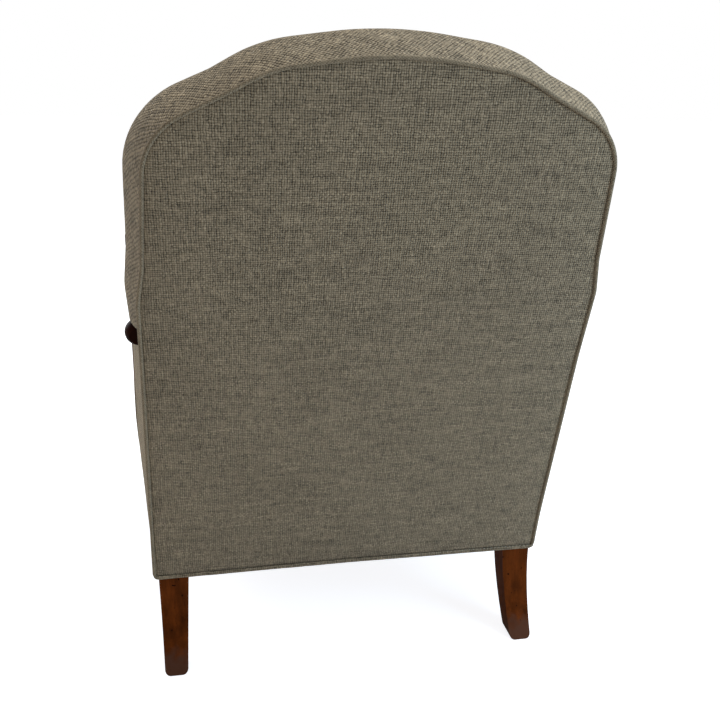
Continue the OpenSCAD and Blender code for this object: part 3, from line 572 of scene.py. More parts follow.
def wooden(name, colour, stretch, gloss, worn=0.0, contrast=0.7, shine=0.12):
    """Wood with grain along the axis that stretch holds small. gloss is its roughness, and
    worn the height in metres below which the feet are scuffed."""
    scuffed = (84, 52, 38)
    spread = 0.28 * contrast
    material, tree, shader = surface(name, Roughness=gloss, Specular_IOR_Level=shine)
    place = add(tree, "ShaderNodeTexCoord").outputs["Object"]
    along_grain = add(tree, "ShaderNodeMapping", {0: place, "Scale": stretch}).outputs[0]
    broad = noise_value(tree, along_grain, 1.0, 4.0, 0.6)
    pores = noise_value(tree, along_grain, 9.0, 2.0, 0.7)
    patches = noise_value(tree, place, 30.0, 3.0)
    grain = calc(tree, "ADD", calc(tree, "MULTIPLY", broad, 0.55), calc(tree, "MULTIPLY", pores, 0.2))
    grain = calc(tree, "ADD", grain, calc(tree, "MULTIPLY", patches, 0.25))
    dark, middle, light = linear(colour, 0.35), linear(colour), linear(colour, 1.7)
    stops = [(0.5 - spread, dark), (0.5, middle), (0.5 + spread, light)]
    shown = ramp(tree, grain, stops)
    dents = noise_value(tree, place, 160.0, 1.0)
    pit = add(tree, "ShaderNodeMapRange", {0: dents, 1: 0.71, 2: 0.76}).outputs[0]
    shown = mix_colours(tree, pit, shown, linear(colour, 0.12))
    if worn:
        height = split(tree, place)[2]
        ragged = calc(tree, "MULTIPLY_ADD", noise_value(tree, place, 90.0, 3.0), -0.05)
        tree.links.new(height, ragged.node.inputs[2])
        scuff = add(tree, "ShaderNodeMapRange", {0: ragged, 1: worn - 0.018, 2: worn - 0.042}).outputs[0]
        shown = mix_colours(tree, scuff, shown, linear(scuffed))
    tree.links.new(shown, shader.inputs["Base Color"])
    bump(tree, shader, calc(tree, "SUBTRACT", grain, pit), 0.0004, 0.5)
    return material


def fibrous(name, colour, size):
    """Matted fibres, with lumps of the given size in metres."""
    material, tree, shader = surface(name, Roughness=0.95)
    place = add(tree, "ShaderNodeTexCoord").outputs["Object"]
    lumps = noise_value(tree, place, 1 / size, 5.0, 0.7)
    stops = [(0.3, linear(colour, 0.7)), (0.7, linear(colour, 1.1))]
    tree.links.new(ramp(tree, lumps, stops), shader.inputs["Base Color"])
    bump(tree, shader, lumps, 0.001, 0.6)
    return material


def wire_steel(name):
    material, tree, shader = surface(name, Metallic=1.0)
    place = add(tree, "ShaderNodeTexCoord").outputs["Object"]
    tarnish = noise_value(tree, place, 120.0, 3.0)
    stops = [(0.35, linear((120, 118, 114))), (0.7, linear((188, 188, 190)))]
    tree.links.new(ramp(tree, tarnish, stops), shader.inputs["Base Color"])
    rough = add(tree, "ShaderNodeMapRange", {0: tarnish, 3: 0.55, 4: 0.3}).outputs[0]
    tree.links.new(rough, shader.inputs["Roughness"])
    return material


CLOTH_COLOUR = (133, 118, 97)
# The last number of each cloth is the painted shade in the hollows between its yarns
cloth = woven("linen_look_cloth", CLOTH_COLOUR, 0.0031, 0.85, 0.0009, gap_shade=0.5)
border_cloth = woven("border_cloth", CLOTH_COLOUR, 0.0038, 1.0, 0.0011, gap_shade=0.5)
piping_cloth = woven("piping_cloth", CLOTH_COLOUR, 0.0028, 0.5, 0.0005, gap_shade=0.25)
black_cloth = woven("black_dust_cloth", (34, 34, 35), 0.0008, 0.5, 0.0002)
hessian = woven("hessian", (150, 120, 78), 0.0024, 0.9, 0.0006)
webbing = woven("jute_webbing", (168, 136, 92), 0.003, 0.8, 0.0008)
thread = woven("stitching_thread", (176, 170, 156), 0.0006, 0.4, 0.0002)
wadding = fibrous("wadding", (226, 220, 204), 0.006)
leg_wood = wooden("leg_wood", (88, 40, 10), (90, 90, 5), 0.45, worn=0.034, shine=0.025)
rail_show_wood = wooden("arm_rail_wood", (36, 14, 7), (90, 5, 90), 0.5, shine=0.02)
support_show_wood = wooden("arm_support_wood", (84, 34, 16), (90, 90, 5), 0.45, shine=0.03)
steel = wire_steel("wire_steel")


# Camera, floor and light


def camera():
    """The photograph's viewpoint, fitted to the chair's outlines."""
    yaw, pitch, roll = (math.radians(a) for a in (11.28, 19.27, 1.31))
    right = Vector((-math.cos(yaw), math.sin(yaw), 0))
    level = Vector((-math.sin(yaw), -math.cos(yaw), 0))
    ahead = level * math.cos(pitch) - Vector((0, 0, 1)) * math.sin(pitch)
    up = right.cross(ahead)
    across = right * math.cos(roll) + up * math.sin(roll)
    upward = up * math.cos(roll) - right * math.sin(roll)
    data = bpy.data.cameras.new("camera")
    data.lens = 44.185
    data.sensor_width = 36
    obj = bpy.data.objects.new("camera", data)
    bpy.context.scene.collection.objects.link(obj)
    turn = Matrix((across, upward, -ahead)).transposed()
    obj.matrix_world = Matrix.Translation((0.2436, 1.4263, 0.9559)) @ turn.to_4x4()
    bpy.context.scene.camera = obj


def floor():
    """A pale floor that shows white to the camera and keeps the chair's soft shadow."""
    half = 12
    corners = [(-half, -half, 0), (half, -half, 0), (half, half, 0), (-half, half, 0)]
    mesh = bpy.data.meshes.new("floor")
    mesh.from_pydata(corners, [], [(0, 1, 2, 3)])
    material, tree, shader = surface(
        "pale_floor", Roughness=0.9, Base_Color=(0.8, 0.8, 0.8, 1), Specular_IOR_Level=0.1
    )
    seen = add(tree, "ShaderNodeLightPath").outputs["Is Camera Ray"]
    dim = add(tree, "ShaderNodeBsdfDiffuse", {"Color": (0.5, 0.5, 0.5, 1)}).outputs[0]
    glow = add(tree, "ShaderNodeEmission", {"Color": (0.87, 0.87, 0.89, 1)}).outputs[0]
    pale = add(tree, "ShaderNodeAddShader", {0: dim, 1: glow}).outputs[0]
    mix = add(tree, "ShaderNodeMixShader", {0: seen, 1: shader.outputs[0], 2: pale}).outputs[0]
    end = next(n for n in tree.nodes if n.type == "OUTPUT_MATERIAL")
    tree.links.new(mix, end.inputs["Surface"])
    mesh.materials.append(material)
    obj = bpy.data.objects.new("floor", mesh)
    bpy.context.scene.collection.objects.link(obj)


def sky(level):
    """White to the camera and in reflections, and an even warm light on the chair."""
    world = bpy.data.worlds.new("studio")
    bpy.context.scene.world = world
    world.use_nodes = True
    tree = world.node_tree
    path = add(tree, "ShaderNodeLightPath")
    shown = calc(tree, "MAXIMUM", path.outputs["Is Camera Ray"], path.outputs["Is Glossy Ray"])
    light = next(n for n in tree.nodes if n.type == "BACKGROUND")
    light.inputs["Color"].default_value = (1, 0.96, 0.88, 1)
    light.inputs["Strength"].default_value = level
    white = add(tree, "ShaderNodeBackground", {"Color": (1, 1, 1, 1)}).outputs[0]
    mix = add(tree, "ShaderNodeMixShader", {0: shown, 1: light.outputs[0], 2: white}).outputs[0]
    end = next(n for n in tree.nodes if n.type == "OUTPUT_WORLD")
    tree.links.new(mix, end.inputs["Surface"])


def soft_box(name, place, target, size, power, colour=(1, 1, 1)):
    data = bpy.data.lights.new(name, "AREA")
    data.color = colour
    data.shape = "SQUARE"
    data.size = size
    data.energy = power
    obj = bpy.data.objects.new(name, data)
    bpy.context.scene.collection.objects.link(obj)
    obj.location = place
    obj.rotation_euler = (Vector(target) - Vector(place)).to_track_quat("-Z", "Y").to_euler()


bpy.context.scene.view_settings.view_transform = "Standard"
camera()
floor()
sky(0.3)
soft_box("window", (2.3, -2.4, 1.5), (0.2, 0, 0.4), 1.6, 84, colour=(0.92, 0.97, 1))
soft_box("ceiling", (-0.6, -0.1, 3.2), (0, 0, 0.5), 2.2, 86, colour=(0.86, 0.94, 1))
soft_box("room", (-1.5, 1.1, 1.1), (-0.3, 0, 0.7), 0.9, 23, colour=(0.53, 0.77, 1))


# Outside back, with its turned hem and stitches


def closed(path):
    return np.concatenate([path, path[:1]])


def bottom_edge(reach, out):
    """Path along the bottom of the outside back, out below it, from right to left."""
    return np.array([(-reach, -out), (0, -out + HEM_RISE), (reach, -out)], float)


def outside_back():
    tucked_in = 1
    seam_pull, edge_pull = 2.6, 0.9
    bulge = 2.6
    outline = inset(rear_outline(), tucked_in)
    above_hem = outline[outline[:, 1] > 1]
    count = int(length_of(above_hem) / MESH_STEP)
    bottom = resample(bottom_edge(REAR_HALF - 3, HEM_DROP - 4), int(REAR_W / MESH_STEP))
    ring = closed(np.concatenate([resample(above_hem, count), bottom]))

    def height(points, distance):
        pulled = seam_pull * np.exp(-distance / 1.4) + edge_pull * np.exp(-distance / 8)
        puckers = 0.35 * ripple(points, 16, 4.2) * np.exp(-distance / 26)
        waves = 0.9 * ripple(points, 130, 1.7)
        return pulled - bulge * (1 - np.exp(-distance / 45)) + puckers + waves

    obj = pillow("outside_back_cover_cloth", ring, np.array([0.0, 420.0]), height, on_back, cloth,
                 away_from=(0, -300, 560))
    thicken(obj, COVER_T)
    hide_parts("outside_back_cover")
    back_hem()
    stitches()


def back_hem():
    """Edge of the back cover, turned under and sewn along the bottom."""
    half_t, proud = 1.5, 1.3
    sides = 16
    reach = REAR_HALF + HEM_REACH
    end = reach * np.array([1, 0.9997, 0.9985, 0.996, 0.992, 0.987, 0.981, 0.975])
    x = np.concatenate([-end, np.linspace(-end[-1], end[-1], 130)[1:-1], end[::-1]])
    edge = bottom_edge(reach, HEM_DROP)
    low = np.interp(x, edge[:, 0], edge[:, 1])
    # The lower corners are round, as high as the hem
    inward = np.clip((reach - np.abs(x)) / HEM_H, 0, 1)
    high = HEM_H * np.sqrt(1 - (1 - inward) ** 2) + 0.2
    path = np.stack([x, low + HEM_H - high / 2], axis=1)
    angles = np.linspace(0, 2 * math.pi, sides, endpoint=False)
    flattened = half_t * np.sign(np.sin(angles)) * np.abs(np.sin(angles)) ** 0.6
    run = reach + x
    waves = 0.4 * ripple(path, 20, 3.3)
    rings = []
    for at, height, wave in zip(path, high, waves):
        flat = at + np.array([[0, -height / 2]]) * np.cos(angles)[:, None]
        rings.append(np.insert(flat, 2, wave - proud + flattened, axis=1))
    around = np.append(HEM_H * angles / math.pi, 2 * HEM_H)
    u, v = np.meshgrid(run, around, indexing="ij")
    obj = grid("back_hem", on_back(np.array(rings)), np.stack([u, v], -1), cloth, wrap=True, caps=True,
               away_from=(0, 0, CLEAR_H))
    return obj


def stitches():
    """Small light stitches that show above the hem on the right."""
    pitch, length, rise, proud = 6.5, 2.6, 0.7, 2.2
    first, last = -REAR_HALF + 9, -60
    sides = 6
    rings = ((0, 0.2), (0.25, 0.45), (0.75, 0.45), (1, 0.2))
    weave = 0.5 * np.stack(np.meshgrid(range(len(rings)), range(sides + 1), indexing="ij"), -1)
    places, faces, corners = [], [], []
    for x in np.arange(first, last, pitch):
        wobble = noise.noise(Vector((x, 0.4, 0.8)))
        start = np.array([x, HEM_H - HEM_DROP + 0.4 + 0.5 * wobble, -proud])
        faces += quads(len(rings), sides, wrap=True, base=len(places))
        corners += cells(weave)
        for f, r in rings:
            for a in np.linspace(0, 2 * math.pi, sides, endpoint=False):
                places.append(start + [length * f, rise * f + r * math.cos(a), r * math.sin(a)])
    obj = build("hem_stitches", on_back(places), faces, corners, thread)
    return obj


# Boxed border and its two pipings


def above_arms(path, n):
    """The part of a border outline that stands above the arm rails."""
    low = (ARM_H + GAP - CLEAR_H - n * math.sin(BACK_RAKE)) / math.cos(BACK_RAKE)
    fine = resample(path, 4000)
    kept = fine[fine[:, 1] >= low]
    kept[0, 1] = low
    kept[-1, 1] = low
    return kept


def back_border():
    rows, columns = 19, 250
    turned_in = BUMP_HALF - 5
    bulge, widest, seam_at = 6.8, 0.8, 0.84
    first, last = 1.6, BORDER_D - 0.5
    places, weave = [], []
    for f in np.linspace(0, 1, rows):
        n = first + (last - first) * f
        path = resample(above_arms(ear_outline(n / BORDER_D), n), columns)
        run = np.linspace(0, length_of(path), columns)
        swelling = math.sin(math.pi / 2 * min(1, f / widest))
        swelling *= 1 - max(0, (f - seam_at) / (1 - seam_at)) ** 2
        out = bulge * swelling - PIPING_OUT * (1 - f)
        tug = ripple(np.stack([run, np.full(columns, 90 * f)], -1), 26, 6.1)
        path = offset_path(path, out + 0.4 * tug * (1 - (2 * f - 1) ** 2))
        level = path[0, 1]
        right = np.linspace([turned_in, level], path[0], 4)[:-1]
        left = np.linspace(path[-1], [-turned_in, level], 4)[1:]
        whole = np.concatenate([right, path, left])
        places.append(np.insert(whole, 2, n, axis=1))
        along_it = np.concatenate([[0], np.cumsum(np.linalg.norm(np.diff(whole, axis=0), axis=1))])
        middle = along_it[-1] / 2
        weave.append(np.stack([along_it - middle, np.full(len(whole), n)], -1))
    turn = np.array([[math.cos(BIAS), math.sin(BIAS)], [-math.sin(BIAS), math.cos(BIAS)]])
    obj = grid("back_border_cloth", on_back(np.array(places)), np.array(weave) @ turn, border_cloth,
               away_from=(0, 120, 760))
    thicken(obj, COVER_T)
    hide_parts("back_border")


def piping(name, path, across, node, **options):
    obj = tube(name, path, across, CORD_SHOWN_R, piping_cloth, **options)
    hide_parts(node)


def back_pipings():
    across = np.array([0, -math.cos(BACK_RAKE), math.sin(BACK_RAKE)])
    rear = rounded([(REAR_HALF - 9, -6, 0), (REAR_HALF, -6, 5), (*rear_outline()[1], 0)])
    rear = np.concatenate([rear[:-1], rear_outline()[1:-1], rear[-2::-1] * [-1, 1]])
    rear = offset_path(resample(rear, 480), CORD_OUT)
    piping("rear_piping_cloth", on_back(np.insert(rear, 2, 0.6, axis=1)), across, "rear_piping")
    front = resample(above_arms(ear_outline(1), BORDER_D + PIPING_R), 380)
    places = on_back(np.insert(offset_path(front, CORD_OUT), 2, BORDER_D, axis=1))
    piping("front_piping_cloth", places, across, "front_piping")


# Inside back


def pad_outline(i, n, t):
    """Outline of the inside back at height n, drawn in by i, with steps over the arms."""
    extra = i - PAD_INSET
    step_z = ARM_H + COVER_T + 2 * GAP + extra
    step_s = (step_z - CLEAR_H - n * math.sin(BACK_RAKE)) / math.cos(BACK_RAKE)
    low_x = side_x(raked_d(CLEAR_H + PAD_LOW, ARM_BACK_N), ARM_DEPTH + 1 + extra)
    high_x = side_x(raked_d(ARM_H, ARM_BACK_N), ARM_DEPTH + 1 + extra)
    ear_x = BUMP_HALF + 1.5 + 10 * t - i - 4
    low_s = PAD_LOW + extra
    half = [(0, low_s, 0), (low_x, low_s, 8), (high_x, step_s, 6), (ear_x, step_s, 6)]
    half += [(x * (1 - i / REAR_HALF), s * (1 - i / BACK_LEN), r) for x, s, r in back_knots(t)[1:]]
    x, s, r = top_knot(t)
    return both_sides(half, (x, s * (1 - i / BACK_LEN), r))


def inside_back():
    """Padded face between the arms and the border's front piping, with a soft crown."""
    outline = pad_outline(CORD_SHOWN_R, FRONT_N, 1)
    ring = resample(outline, int(length_of(outline) / MESH_STEP))
    reach, fullness = 190, 2.6
    sunk, edge_rise = 2, 5

    def height(points, distance):
        crown = BACK_CROWN * (1 - (1 - np.clip(distance / reach, 0, 1)) ** fullness)
        puckers = 0.8 * ripple(points, 22, 7.7) * np.exp(-distance / 30)
        edge = edge_rise * (1 - np.exp(-distance / 2.5))
        return FRONT_N - sunk + edge + crown + puckers + 1.2 * ripple(points, 110, 5.3)

    obj = pillow("inside_back_cushion", ring, np.array([0.0, 600.0]), height, on_back, cloth,
                 away_from=(0, 200, 500))
    thicken(obj, 12)
    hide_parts("inside_back_cover", "back_stuffing")


# Sides and arms


def side_cover(side, mirror):
    knob_back = along(-KNOB_Y) - KNOB_D / 2 - 1
    front = along(WRAP_D) - GAP
    stump = along(STUMP_BACK_D)
    low = CLEAR_H - HEM_DROP + 1
    outline = np.array([
        (along(raked_d(low + HEM_H, 1)), low + HEM_H), (along(raked_d(low, HEM_H)), low),
        (front, low), (front, BORDER_TOP),
        (stump, BORDER_TOP), (stump, ARM_LOW - GAP), (knob_back, ARM_LOW - GAP),
        (knob_back, ARM_H - GAP), (along(raked_d(ARM_H, 1)), ARM_H - GAP),
    ])

    def place(points):
        distance = soft_distance(points, closed(outline))
        out = 0.5 * (1 - np.exp(-distance / 30)) - 0.9 * np.exp(-distance / 4)
        out += 0.4 * ripple(points, 90, 2.2)
        spots = on_side(np.insert(points, 2, -out, axis=1))
        return mirrored(spots) if mirror else spots

    obj = panel(f"side_cover_cloth_{side}", outline, place, cloth, away_from=(0, -250, 400))
    thicken(obj, COVER_T)
    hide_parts(f"side_cover_{side}")


def inside_arm(side, mirror):
    """Padded inside of an arm: face, rolled top edge and front end."""
    round_r = 12
    top = ARM_H - 8
    bottom = DECK_Z + GAP
    deep, shallow = ARM_DEPTH, ARM_WOOD_T + HESSIAN_T
    section = rounded([(deep, bottom, 0), (deep, top, round_r), (shallow, top, 0)])
    section = resample(section, 46)
    front = along(STUMP_FRONT_D)
    rows, weave = [], []
    around = np.linspace(0, length_of(section), len(section))
    end_at, end_r, bulge = 0.975, 7, 3.2
    stations = np.concatenate([np.linspace(0, end_at, 56), [0.988, 0.996, 1.0]])
    for f in stations:
        w, z = section[:, 0].copy(), section[:, 1].copy()
        back = along(raked_d(z, ARM_BACK_N))
        u = back + (front - back) * f
        free = np.clip((z - BORDER_TOP - CUSHION_T) / 60, 0, 1) * np.clip((top - z) / 40, 0, 1)
        ends = min(1, 8 * f, 8 * (1 - f) + 0.02)
        w += bulge * free * ends + 0.35 * ripple(np.stack([u, z], -1), 28, 8.8)
        if f > end_at:
            turn = end_r * (1 - math.sqrt(max(0, 1 - ((f - end_at) / (1 - end_at)) ** 2)))
            w = np.maximum(w - turn, shallow)
            z = np.minimum(z, top - turn)
        rows.append(np.stack([u, z, w], -1))
        weave.append(np.stack([u, around], -1))
    end = rows[-1].copy()
    for share in np.linspace(1, 0, 8)[1:]:
        closed_row = end.copy()
        closed_row[:, 2] = shallow + (end[:, 2] - shallow) * share
        closed_row[:, 0] = front
        rows.append(closed_row)
        weave.append(np.stack([front + (1 - share) * ARM_PAD_T + 0 * around, around], -1))
    # The cloth goes on a little way over the outer side, behind the curved arm support
    for back_by in (8, 20, 32, 44):
        turned = rows[-1].copy()
        turned[:, 0] = front - back_by
        rows.append(turned)
        weave.append(np.stack([front + ARM_PAD_T + back_by + 0 * around, around], -1))
    spots = on_side(np.array(rows))
    spots = mirrored(spots) if mirror else spots
    obj = grid(f"inside_arm_cloth_{side}", spots, np.array(weave), cloth,
               away_from=(-500 if mirror else 500, -250, 350))
    thicken(obj, COVER_T)
    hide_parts(f"inside_arm_cover_{side}", f"arm_stuffing_{side}")


# Front border


def front_border():
    count = 150
    front = [(side_x(WRAP_D), -WRAP_D, 0), (side_x(SEAT_D), -SEAT_D, BORDER_CORNER_R)]
    path = resample(rounded(front + [(-x, y, r) for x, y, r in reversed(front)]), count)
    run = np.linspace(0, length_of(path), count)
    low = 1 - HEM_DROP
    levels = [(3, low + 0.5), (1, low), *[(0, z) for z in np.linspace(low + 3, BORDER_H - 7, 22)],
              (0.6, BORDER_H - 3.5), (2.2, BORDER_H - 1.2), (5, BORDER_H - 0.2), (11, BORDER_H)]
    places, weave = [], []
    for i, z in levels:
        bulge = 1.8 * math.sin(math.pi * z / BORDER_H) + 0.4
        tug = 0.4 * ripple(np.stack([run, np.full(count, z)], -1), 40, 3.9)
        moved = offset_path(path, i - bulge - tug)
        places.append(np.insert(moved, 2, CLEAR_H + z, axis=1))
        weave.append(np.stack([run, np.full(count, z + i)], -1))
    obj = grid("front_border_cloth", np.array(places), np.array(weave), cloth, away_from=(0, -300, 230))
    thicken(obj, COVER_T)
    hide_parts("front_border_cover", "front_border_wadding")


# Seat cushion


def cushion_plan(i):
    back, front = CUSHION_BACK_D + i, CUSHION_FRONT_D - i
    arm_side = ARM_DEPTH + 1.5 + i
    back_half = side_x(CUSHION_BACK_D, arm_side)
    front_half = side_x(CUSHION_FRONT_D, arm_side)
    mid_half = (back_half + front_half) / 2 - CUSHION_DRAW
    r = CUSHION_R - i
    return rounded([
        (0, -back - CUSHION_DRAW, 0), (-back_half, -back, r), (-mid_half, -(back + front) / 2, 0),
        (-front_half, -front, r), (0, -front + CUSHION_DRAW, 0), (front_half, -front, r),
        (mid_half, -(back + front) / 2, 0), (back_half, -back, r),
    ], closed=True)


def coordinates(obj):
    flat = np.zeros(len(obj.data.vertices) * 3)
    obj.data.vertices.foreach_get("co", flat)
    return flat.reshape(-1, 3)


def swell(obj, voxel, pressure, pinned, cap, side_cap):
    """Cloth simulation with inner pressure. pinned are the places, in metres, that stay.
    cap is how far a point may move, and side_cap how far along X or Y."""
    bpy.context.view_layer.objects.active = obj
    remesh = obj.modifiers.new("even", "REMESH")
    remesh.mode = "VOXEL"
    remesh.voxel_size = voxel
    bpy.ops.object.modifier_apply(modifier=remesh.name)
    start = coordinates(obj)
    held = obj.vertex_groups.new(name="seams")
    held_within, batch = 0.008, 2000
    for low in range(0, len(start), batch):
        part = start[low:low + batch]
        near = np.linalg.norm(part[:, None] - pinned[None], axis=-1).min(1) < held_within
        held.add((low + np.flatnonzero(near)).tolist(), 1.0, "REPLACE")
    sim = obj.modifiers.new("cloth", "CLOTH")
    sim.settings.use_pressure = True
    sim.settings.uniform_pressure_force = pressure
    sim.settings.effector_weights.gravity = 0
    sim.settings.vertex_group_mass = held.name
    frames = 20
    for number in range(1, frames + 1):
        bpy.context.scene.frame_set(number)
    bpy.ops.object.modifier_apply(modifier=sim.name)
    moved = coordinates(obj) - start
    reach = np.linalg.norm(moved, axis=1, keepdims=True)
    moved *= np.minimum(1, cap / np.maximum(reach, 1e-9))
    moved[:, :2] = np.clip(moved[:, :2], -side_cap, side_cap)
    bpy.context.scene.frame_set(1)
    return start + moved


def weave_by_normal(obj):
    """UV map in metres from each face's main direction, for a remeshed piece."""
    mesh = obj.data
    layer = mesh.uv_layers.get("weave") or mesh.uv_layers.new(name="weave")
    uv = np.zeros((len(mesh.loops), 2))
    for polygon in mesh.polygons:
        main = max(range(3), key=lambda k: abs(polygon.normal[k]))
        a, b = [k for k in range(3) if k != main]
        for loop in polygon.loop_indices:
            co = mesh.vertices[mesh.loops[loop].vertex_index].co
            uv[loop] = (co[a], co[b])
    layer.data.foreach_set("uv", uv.ravel())


def seat_cushion():
    groove = PIPING_D * 0.55
    seam_low, seam_high = EDGE_GAP, CUSHION_T - PIPING_R
    crown = CUSHION_CROWN - 8
    levels = [
        (groove + 20, 0.4), (groove + 4, 0.4), (groove, 3), (groove, seam_low + 3),
        (2.5, seam_low + 12), (1.0, CUSHION_T / 2), (2.5, seam_high - 12),
        (groove, seam_high - 3), (groove, seam_high + 2),
    ]
    ring_count = 220
    rings = [np.insert(resample(cushion_plan(i), ring_count + 1)[:-1], 2, z, axis=1) for i, z in levels]
    middle = np.array([0, -(CUSHION_BACK_D + CUSHION_FRONT_D) / 2, 0])
    rim = rings[-1]
    for share in (0.97, 0.93, 0.86, 0.76, 0.63, 0.48, 0.3, 0.12):
        ring = middle + (rim - middle) * [share, share, 1]
        ring[:, 2] = CUSHION_T - 2 + crown * (1 - share ** 2.4)
        rings.append(ring)
    flat_ring = middle + (rings[0] - middle) * [0.1, 0.1, 1]
    rings.insert(0, flat_ring)
    places = np.array(rings) + [0, 0, CUSHION_Z]
    weave = np.zeros((*places.shape[:2], 2))
    weave = np.concatenate([weave, weave[:, :1]], axis=1)
    obj = grid("seat_cushion_cloth", places, weave, cloth, wrap=True, caps=True,
               away_from=(0, -300, CUSHION_Z + 50), body="seat_cushion")
    seams = []
    cord = resample(cushion_plan(CORD_SHOWN_R), 420)[:-1]
    for z in (seam_low, seam_high):
        seams.append(np.insert(cord, 2, CUSHION_Z + z, axis=1) + [0, REAR_Y, 0])
    pinned = np.concatenate(seams)[::2] / 1000
    settled = swell(obj, 0.006, 4.0, pinned, cap=0.022, side_cap=0.004)
    lowest = (CUSHION_Z + 0.3) / 1000
    settled[:, 2] = np.maximum(settled[:, 2], lowest)
    obj.data.vertices.foreach_set("co", settled.ravel())
    subdivide(obj)
    weave_by_normal(obj)
    obj.data.polygons.foreach_set("use_smooth", [True] * len(obj.data.polygons))
    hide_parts("cushion_cover", "cushion_foam")
    for name, seam in zip(("bottom", "top"), seams):
        piping(f"cushion_piping_cloth_{name}", seam - [0, REAR_Y, 0], np.array([0, 0, 1]),
               f"cushion_piping_{name}", closed=True, body="seat_cushion")


# Sheets and strips that the covers hide, from the seat's platform to the webbing


def level(z, sag=0.0, size=60.0):
    """Place of a level sheet at height z, which sags away from its edge."""
    def place(points, outline):
        drop = sag * (1 - np.exp(-soft_distance(points, closed(outline)) / size))
        return np.insert(points, 2, z - drop + 0.2 * ripple(points, 60, 0.7), axis=1)
    return place


def sheet(name, outline, place, thickness, material, node, away_from=(0, -300, 0)):
    obj = panel(name, outline, lambda points: place(points, outline), material, away_from=away_from)
    thicken(obj, thickness)
    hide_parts(node)
    return obj


def two_halves(half):
    """Outline from its points on the left, with their mirror images."""
    return np.array(half + [(-x, y) for x, y in reversed(half)])


def seat_layers():
    d0, d1 = LEG_TOP, LIP_D - GAP
    deep = ARM_DEPTH + GAP
    plan_of_seat = two_halves([(side_x(d0, deep), -d0), (side_x(d1, deep), -d1)])
    sheet("seat_platform_sheet", plan_of_seat, level(BORDER_TOP - 0.3, 2.0), DECK_T, cloth,
          "seat_platform_cloth")
    under = level(BORDER_TOP - DECK_T - 0.6, 2.0)
    pad = panel("seat_stuffing_pad", plan_of_seat, lambda points: under(points, plan_of_seat), wadding,
                away_from=(0, -300, 0))
    thicken(pad, 22)
    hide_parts("seat_stuffing")
    front = RAIL_FRONT_D - 2
    arm_clear = ARM_WOOD_T + 1
    plan = two_halves([
        (POST_IN_LOW - 2, 20), (POST_IN_LOW - 2, -LEG_TOP - 2),
        (side_x(LEG_TOP + 2, arm_clear), -LEG_TOP - 2), (side_x(front, arm_clear), -front),
    ])
    sheet("seat_hessian_sheet", plan, level(RAIL_TOP + HESSIAN_T), 0.8, hessian,
          "seat_hessian")
    edge = COVER_T + 2
    leg_back = RAIL_FRONT_D - FRONT_LEG_TOP - 1
    plan = two_halves([
        (POST_IN_LOW - 1, -edge), (POST_IN_LOW - 1, -LEG_TOP), (side_x(LEG_TOP, edge), -LEG_TOP),
        (side_x(leg_back, edge), -leg_back), (LEG_FRONT_IN - 1, -leg_back),
        (LEG_FRONT_IN - 1, -RAIL_FRONT_D),
    ])
    sheet("dust_cover_sheet", plan, level(WEB_LOW_Z - 0.1, 3.0), 0.6, black_cloth,
          "dust_cover")


def hessians():
    def on_posts(points, _):
        return on_back(np.insert(points, 2, POST_N + 3.6, axis=1))
    sheet("back_hessian_sheet", pad_outline(PAD_INSET + 8, POST_N + 3.2, 0.3), on_posts, 0.8, hessian,
          "back_hessian",
          away_from=(0, 400, 500))
    low, high = DECK_Z + 62, ARM_H - 14
    behind_support = 40
    front = along(STUMP_FRONT_D - behind_support)
    plan = np.array([
        (along(raked_d(low, ARM_BACK_N)) + 2, low), (front, low), (front, high),
        (along(raked_d(high, ARM_BACK_N)) + 2, high),
    ])
    for side, turn in (("left", 1), ("right", -1)):
        def place(points, _):
            return on_side(np.insert(points, 2, ARM_WOOD_T + 0.9, axis=1)) * [turn, 1, 1]
        sheet(f"arm_hessian_sheet_{side}", plan, place, 0.8, hessian, f"arm_hessian_{side}",
              away_from=(turn * 700, -250, 400))


def strips(name, runs, node):
    """Webbing strips in one piece. Each run is a start, an end and a direction across."""
    places, faces, corners, total = [], [], [], 0.0
    columns, row_step = 6, 15
    for start, end, across in runs:
        start, end, across = (np.array(v, float) for v in (start, end, across))
        length = np.linalg.norm(end - start)
        total += length
        rows = int(length / row_step)
        faces += quads(rows + 1, columns + 1, base=len(places))
        for j in range(rows + 1):
            for i in range(columns + 1):
                places.append(start + (end - start) * j / rows + across * WEB_W * (i / columns - 0.5))
        v, u = np.linspace(0, length, rows + 1), np.linspace(0, WEB_W, columns + 1)
        corners += cells(np.stack(np.meshgrid(u, v), -1))
    obj = build(name, places, faces, corners, webbing)
    thicken(obj, 1.4, offset=0)
    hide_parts(node)


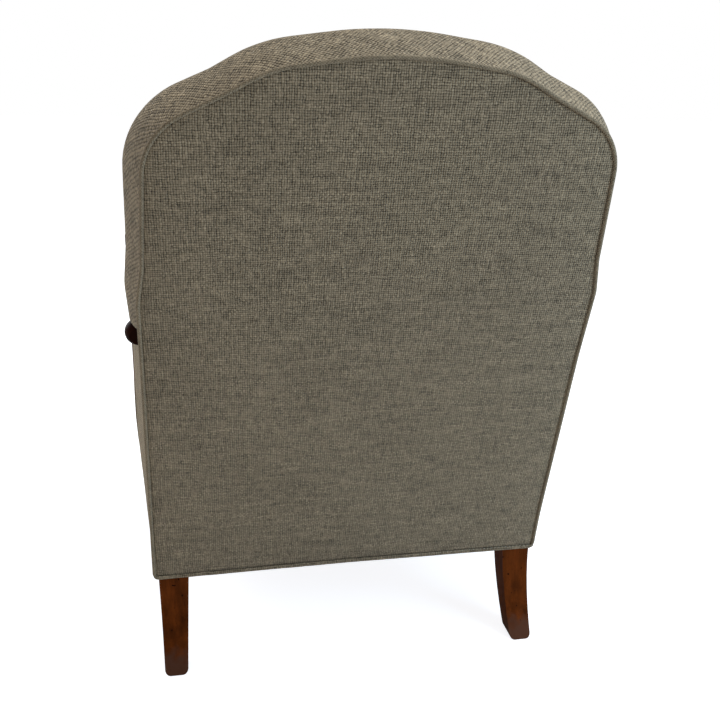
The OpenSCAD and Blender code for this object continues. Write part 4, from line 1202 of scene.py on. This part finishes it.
def webbings():
    count = range(-2, 3)
    back, front = 8, RAIL_FRONT_D - 4
    z = WEB_LOW_Z + 1.5 * WEB_T
    runs = [((i * WEB_STEP_X, -back, z), (i * WEB_STEP_X, -front, z), (1, 0, 0)) for i in count]
    strips("seat_webbing_long_strips", runs, "seat_webbing_long")
    z = WEB_LOW_Z + 0.5 * WEB_T
    runs = []
    for i in count:
        d = WEB_MIDDLE + i * WEB_STEP_Y
        reach = side_x(d - WEB_W / 2) - COVER_T - 4
        runs.append(((-reach, -d, z), (reach, -d, z), (0, 1, 0)))
    strips("seat_webbing_cross_strips", runs, "seat_webbing_cross")
    up = on_back([0, 1, 0]) - on_back([0, 0, 0])
    low = PAD_LOW + 3
    n = POST_N + 0.5 * WEB_T
    runs = []
    for x in 0.45 * POST_IN_TOP * np.array([-1.5, -0.5, 0.5, 1.5]):
        runs.append((on_back([x, low, n]), on_back([x, POST_LEN + 30, n]), (1, 0, 0)))
    strips("back_webbing_upright_strips", runs, "back_webbing_upright")
    reach = POST_IN_TOP + 8
    n = POST_N + 1.5 * WEB_T
    runs = []
    for s in POST_LEN * np.array([0.3, 0.45, 0.75, 0.9]):
        runs.append((on_back([-reach, s, n]), on_back([reach, s, n]), up))
    strips("back_webbing_cross_strips", runs, "back_webbing_cross")


seat_layers()
hessians()
webbings()
outside_back()
back_border()
back_pipings()
inside_back()
for side, mirror in (("left", False), ("right", True)):
    side_cover(side, mirror)
    inside_arm(side, mirror)
front_border()
seat_cushion()


# Wooden frame and metal parts, which keep their CAD meshes


def dress(node, material, bevel=0.0):
    """Gives a CAD node its material, and rounds its edges by a bevel in millimetres."""
    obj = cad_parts[node]
    obj.data.materials.clear()
    obj.data.materials.append(material)
    if bevel:
        edge = obj.modifiers.new("soft_edges", "BEVEL")
        edge.width = bevel / 1000
        edge.segments = 3
        edge.limit_method = "ANGLE"
        edge.angle_limit = math.radians(40)
        edge.harden_normals = False


for end in ("back", "front"):
    for side in ("left", "right"):
        dress(f"{end}_leg_{side}", leg_wood, bevel=2.2)
for side in ("left", "right"):
    dress(f"arm_rail_{side}", rail_show_wood)
    dress(f"arm_support_{side}", support_show_wood, bevel=1.5)

BEECH = (196, 162, 116)
grain_across = wooden("beech_across", BEECH, (5, 70, 70), 0.6, contrast=0.5)
grain_forward = wooden("beech_forward", BEECH, (70, 5, 70), 0.6, contrast=0.5)
for node in (
    "front_seat_rail", "back_seat_rail", "corner_blocks", "frame_dowels", "back_top_rail", "back_lower_rail"
):
    dress(node, grain_across)
for side in ("left", "right"):
    dress(f"side_seat_rail_{side}", grain_forward)
    dress(f"arm_tack_rail_{side}", grain_forward)
for node in ("corner_block_screws", "seat_springs", "dust_cover_tacks"):
    dress(node, steel)
